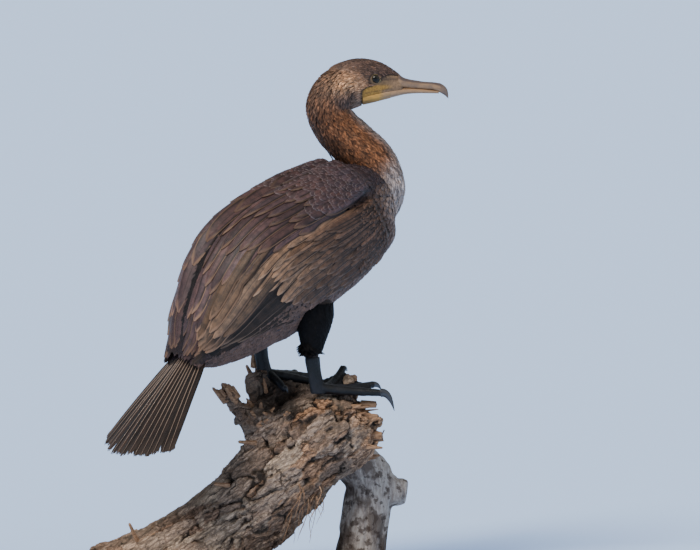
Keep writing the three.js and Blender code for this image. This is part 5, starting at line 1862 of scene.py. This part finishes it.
class CORMORANT_OT_branch(bpy.types.Operator):
    """Builds the broken branch with its bark plates, cracks, splinters and hanging fibres"""

    bl_idname = "cormorant.branch"
    bl_label = "Branch"

    def execute(self, context):
        rng = np.random.default_rng(SEED + 50)
        bark = rough_log()
        carve_bark(bark)
        finish_piece(bark, "branch_bark", bark_finish(), ("perch_branch",))
        torn, hanging = merged(shards(rng)), merged(fibres(rng))
        finish_piece(torn, "branch_shards", broken_wood_finish(), smooth_shade=False)
        finish_piece(hanging, "branch_fibres", broken_wood_finish())
        return {"FINISHED"}


class CORMORANT_OT_fork(bpy.types.Operator):
    """Builds the pale bare fork under the branch"""

    bl_idname = "cormorant.fork"
    bl_label = "Fork"

    def execute(self, context):
        whole = fused(merged([wood_tube(FORK, 48, 60), wood_tube(STUB, 32, 24)]), voxel=2.4, relax=6)
        cuts = [(seat([0, 0, FORK_FOOT]), (0, 0, -1))]
        mesh = fused(sawn(whole, "fork_wood", cuts), voxel=2.0)
        place = points_of(mesh)
        p = place * np.array([1.0, 1.0, 0.12])
        height = 0.9 * noise(p, 5, 11) - 2.2 * np.exp(-((noise(p, 11, 12) / 0.12) ** 2))
        swell(mesh, height * smooth(place[:, 2], -227, -222))
        finish_piece(mesh, "fork_wood", bare_wood_finish(), ("perch_fork",))
        return {"FINISHED"}


class CORMORANT_OT_display_stand(bpy.types.Operator):
    """Finishes the display base and its two rods"""

    bl_idname = "cormorant.display_stand"
    bl_label = "Display stand"

    def execute(self, context):
        base, rod = base_finish(), rod_finish()
        for name, material in (("stand_base", base), ("stand_rod_1", rod), ("stand_rod_2", rod)):
            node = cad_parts[name]
            for place in node.material_slots:
                place.material = material
            if not node.material_slots:
                node.data.materials.append(material)
        return {"FINISHED"}


# From the subject to the camera, the camera's distance in metres and its lens in millimetres.
VIEW = np.array([-0.571, -0.816, 0.0872])
CAMERA_AWAY, LENS = 15.75, 600.0
# How far the camera aims to the right of the near heel and over it, in metres.
AIM_RIGHT, AIM_UP = 0.0432, 0.162
# From the middle of the floor to its edges, in metres.
FLOOR_REACH = 90.0


class CORMORANT_OT_stage(bpy.types.Operator):
    """Sets the floor, the soft lights and the camera"""

    bl_idname = "cormorant.stage"
    bl_label = "Stage"

    def execute(self, context):
        stand = context.scene.cormorant_stand
        scene = context.scene
        bm = bmesh.new()
        bmesh.ops.create_grid(bm, x_segments=2, y_segments=2, size=FLOOR_REACH)
        mesh = to_mesh(bm, "floor")
        mesh.materials.append(floor_finish(tuple(stand.floor)))
        floor = link(bpy.data.objects.new("floor", mesh))

        world = bpy.data.worlds.new("studio")
        world.use_nodes = True
        background = world.node_tree.nodes["Background"]
        background.inputs["Color"].default_value = (0.84, 0.92, 1.0, 1.0)
        background.inputs["Strength"].default_value = stand.sky
        scene.world = world

        right, view = BRANCH_X, unit(VIEW)
        above = np.cross(view, right)
        above = above * np.sign(above[2])
        target = seat(HEELS["right"]) + AIM_RIGHT * right + AIM_UP * above
        camera_data = bpy.data.cameras.new("camera")
        camera_data.lens = LENS
        camera_data.sensor_width = 36.0
        camera_data.clip_end = 400.0
        camera = link(bpy.data.objects.new("camera", camera_data))
        camera.location = Vector(target + view * CAMERA_AWAY)
        camera.rotation_euler = Vector(view).to_track_quat("Z", "Y").to_euler()
        scene.camera = camera

        front = unit(np.array([view[0], view[1], 0.0]))
        lamps = (
            ("key", (-0.60, 0.72, 0.90), 26.0, stand.key, (1.0, 0.94, 0.86)),
            ("fill", (0.9, 0.75, 0.55), 60.0, stand.key * 0.12, (0.90, 0.95, 1.0)),
        )
        # Each lamp shines from its place towards the origin.
        for name, (side, ahead, high), spread, strength, colour in lamps:
            data = bpy.data.lights.new(name, "SUN")
            data.angle = math.radians(spread)
            data.energy = strength
            data.color = colour
            lamp = link(bpy.data.objects.new(name, data))
            place = right * side + front * ahead + np.array([0.0, 0.0, high])
            lamp.location = Vector(place)
            lamp.rotation_euler = Vector(place).to_track_quat("Z", "Y").to_euler()
        return {"FINISHED"}


STEPS = (
    CORMORANT_OT_stage, CORMORANT_OT_skin, CORMORANT_OT_body_coat, CORMORANT_OT_thigh_coat,
    CORMORANT_OT_neck_coat, CORMORANT_OT_head_coat, CORMORANT_OT_wings, CORMORANT_OT_scapulars,
    CORMORANT_OT_tail, CORMORANT_OT_tail_coverts, CORMORANT_OT_bill, CORMORANT_OT_eyes,
    CORMORANT_OT_legs, CORMORANT_OT_branch, CORMORANT_OT_fork, CORMORANT_OT_display_stand,
)


class CORMORANT_PT_panel(bpy.types.Panel):
    """The pieces of the model, in the order they are made"""

    bl_idname = "CORMORANT_PT_panel"
    bl_label = "Cormorant"
    bl_space_type = "VIEW_3D"
    bl_region_type = "UI"
    bl_category = "Cormorant"

    def draw(self, context):
        layout = self.layout
        for name in ("cormorant_plumage", "cormorant_bare", "cormorant_stand"):
            group = getattr(context.scene, name)
            box = layout.box()
            for key in group.__annotations__:
                box.prop(group, key)
        for step in STEPS:
            layout.operator(step.bl_idname)


GROUPS = {
    "cormorant_plumage": CormorantPlumage,
    "cormorant_bare": CormorantBare,
    "cormorant_stand": CormorantStand,
}


def register():
    for cls in (*GROUPS.values(), *STEPS, CORMORANT_PT_panel):
        bpy.utils.register_class(cls)
    for name, group in GROUPS.items():
        setattr(bpy.types.Scene, name, PointerProperty(type=group))


def unregister():
    for name in GROUPS:
        delattr(bpy.types.Scene, name)
    for cls in reversed((*GROUPS.values(), *STEPS, CORMORANT_PT_panel)):
        bpy.utils.unregister_class(cls)


def main():
    register()
    for step in STEPS:
        getattr(bpy.ops.cormorant, step.bl_idname.split(".")[1])()


if __name__ == "__main__":
    main()
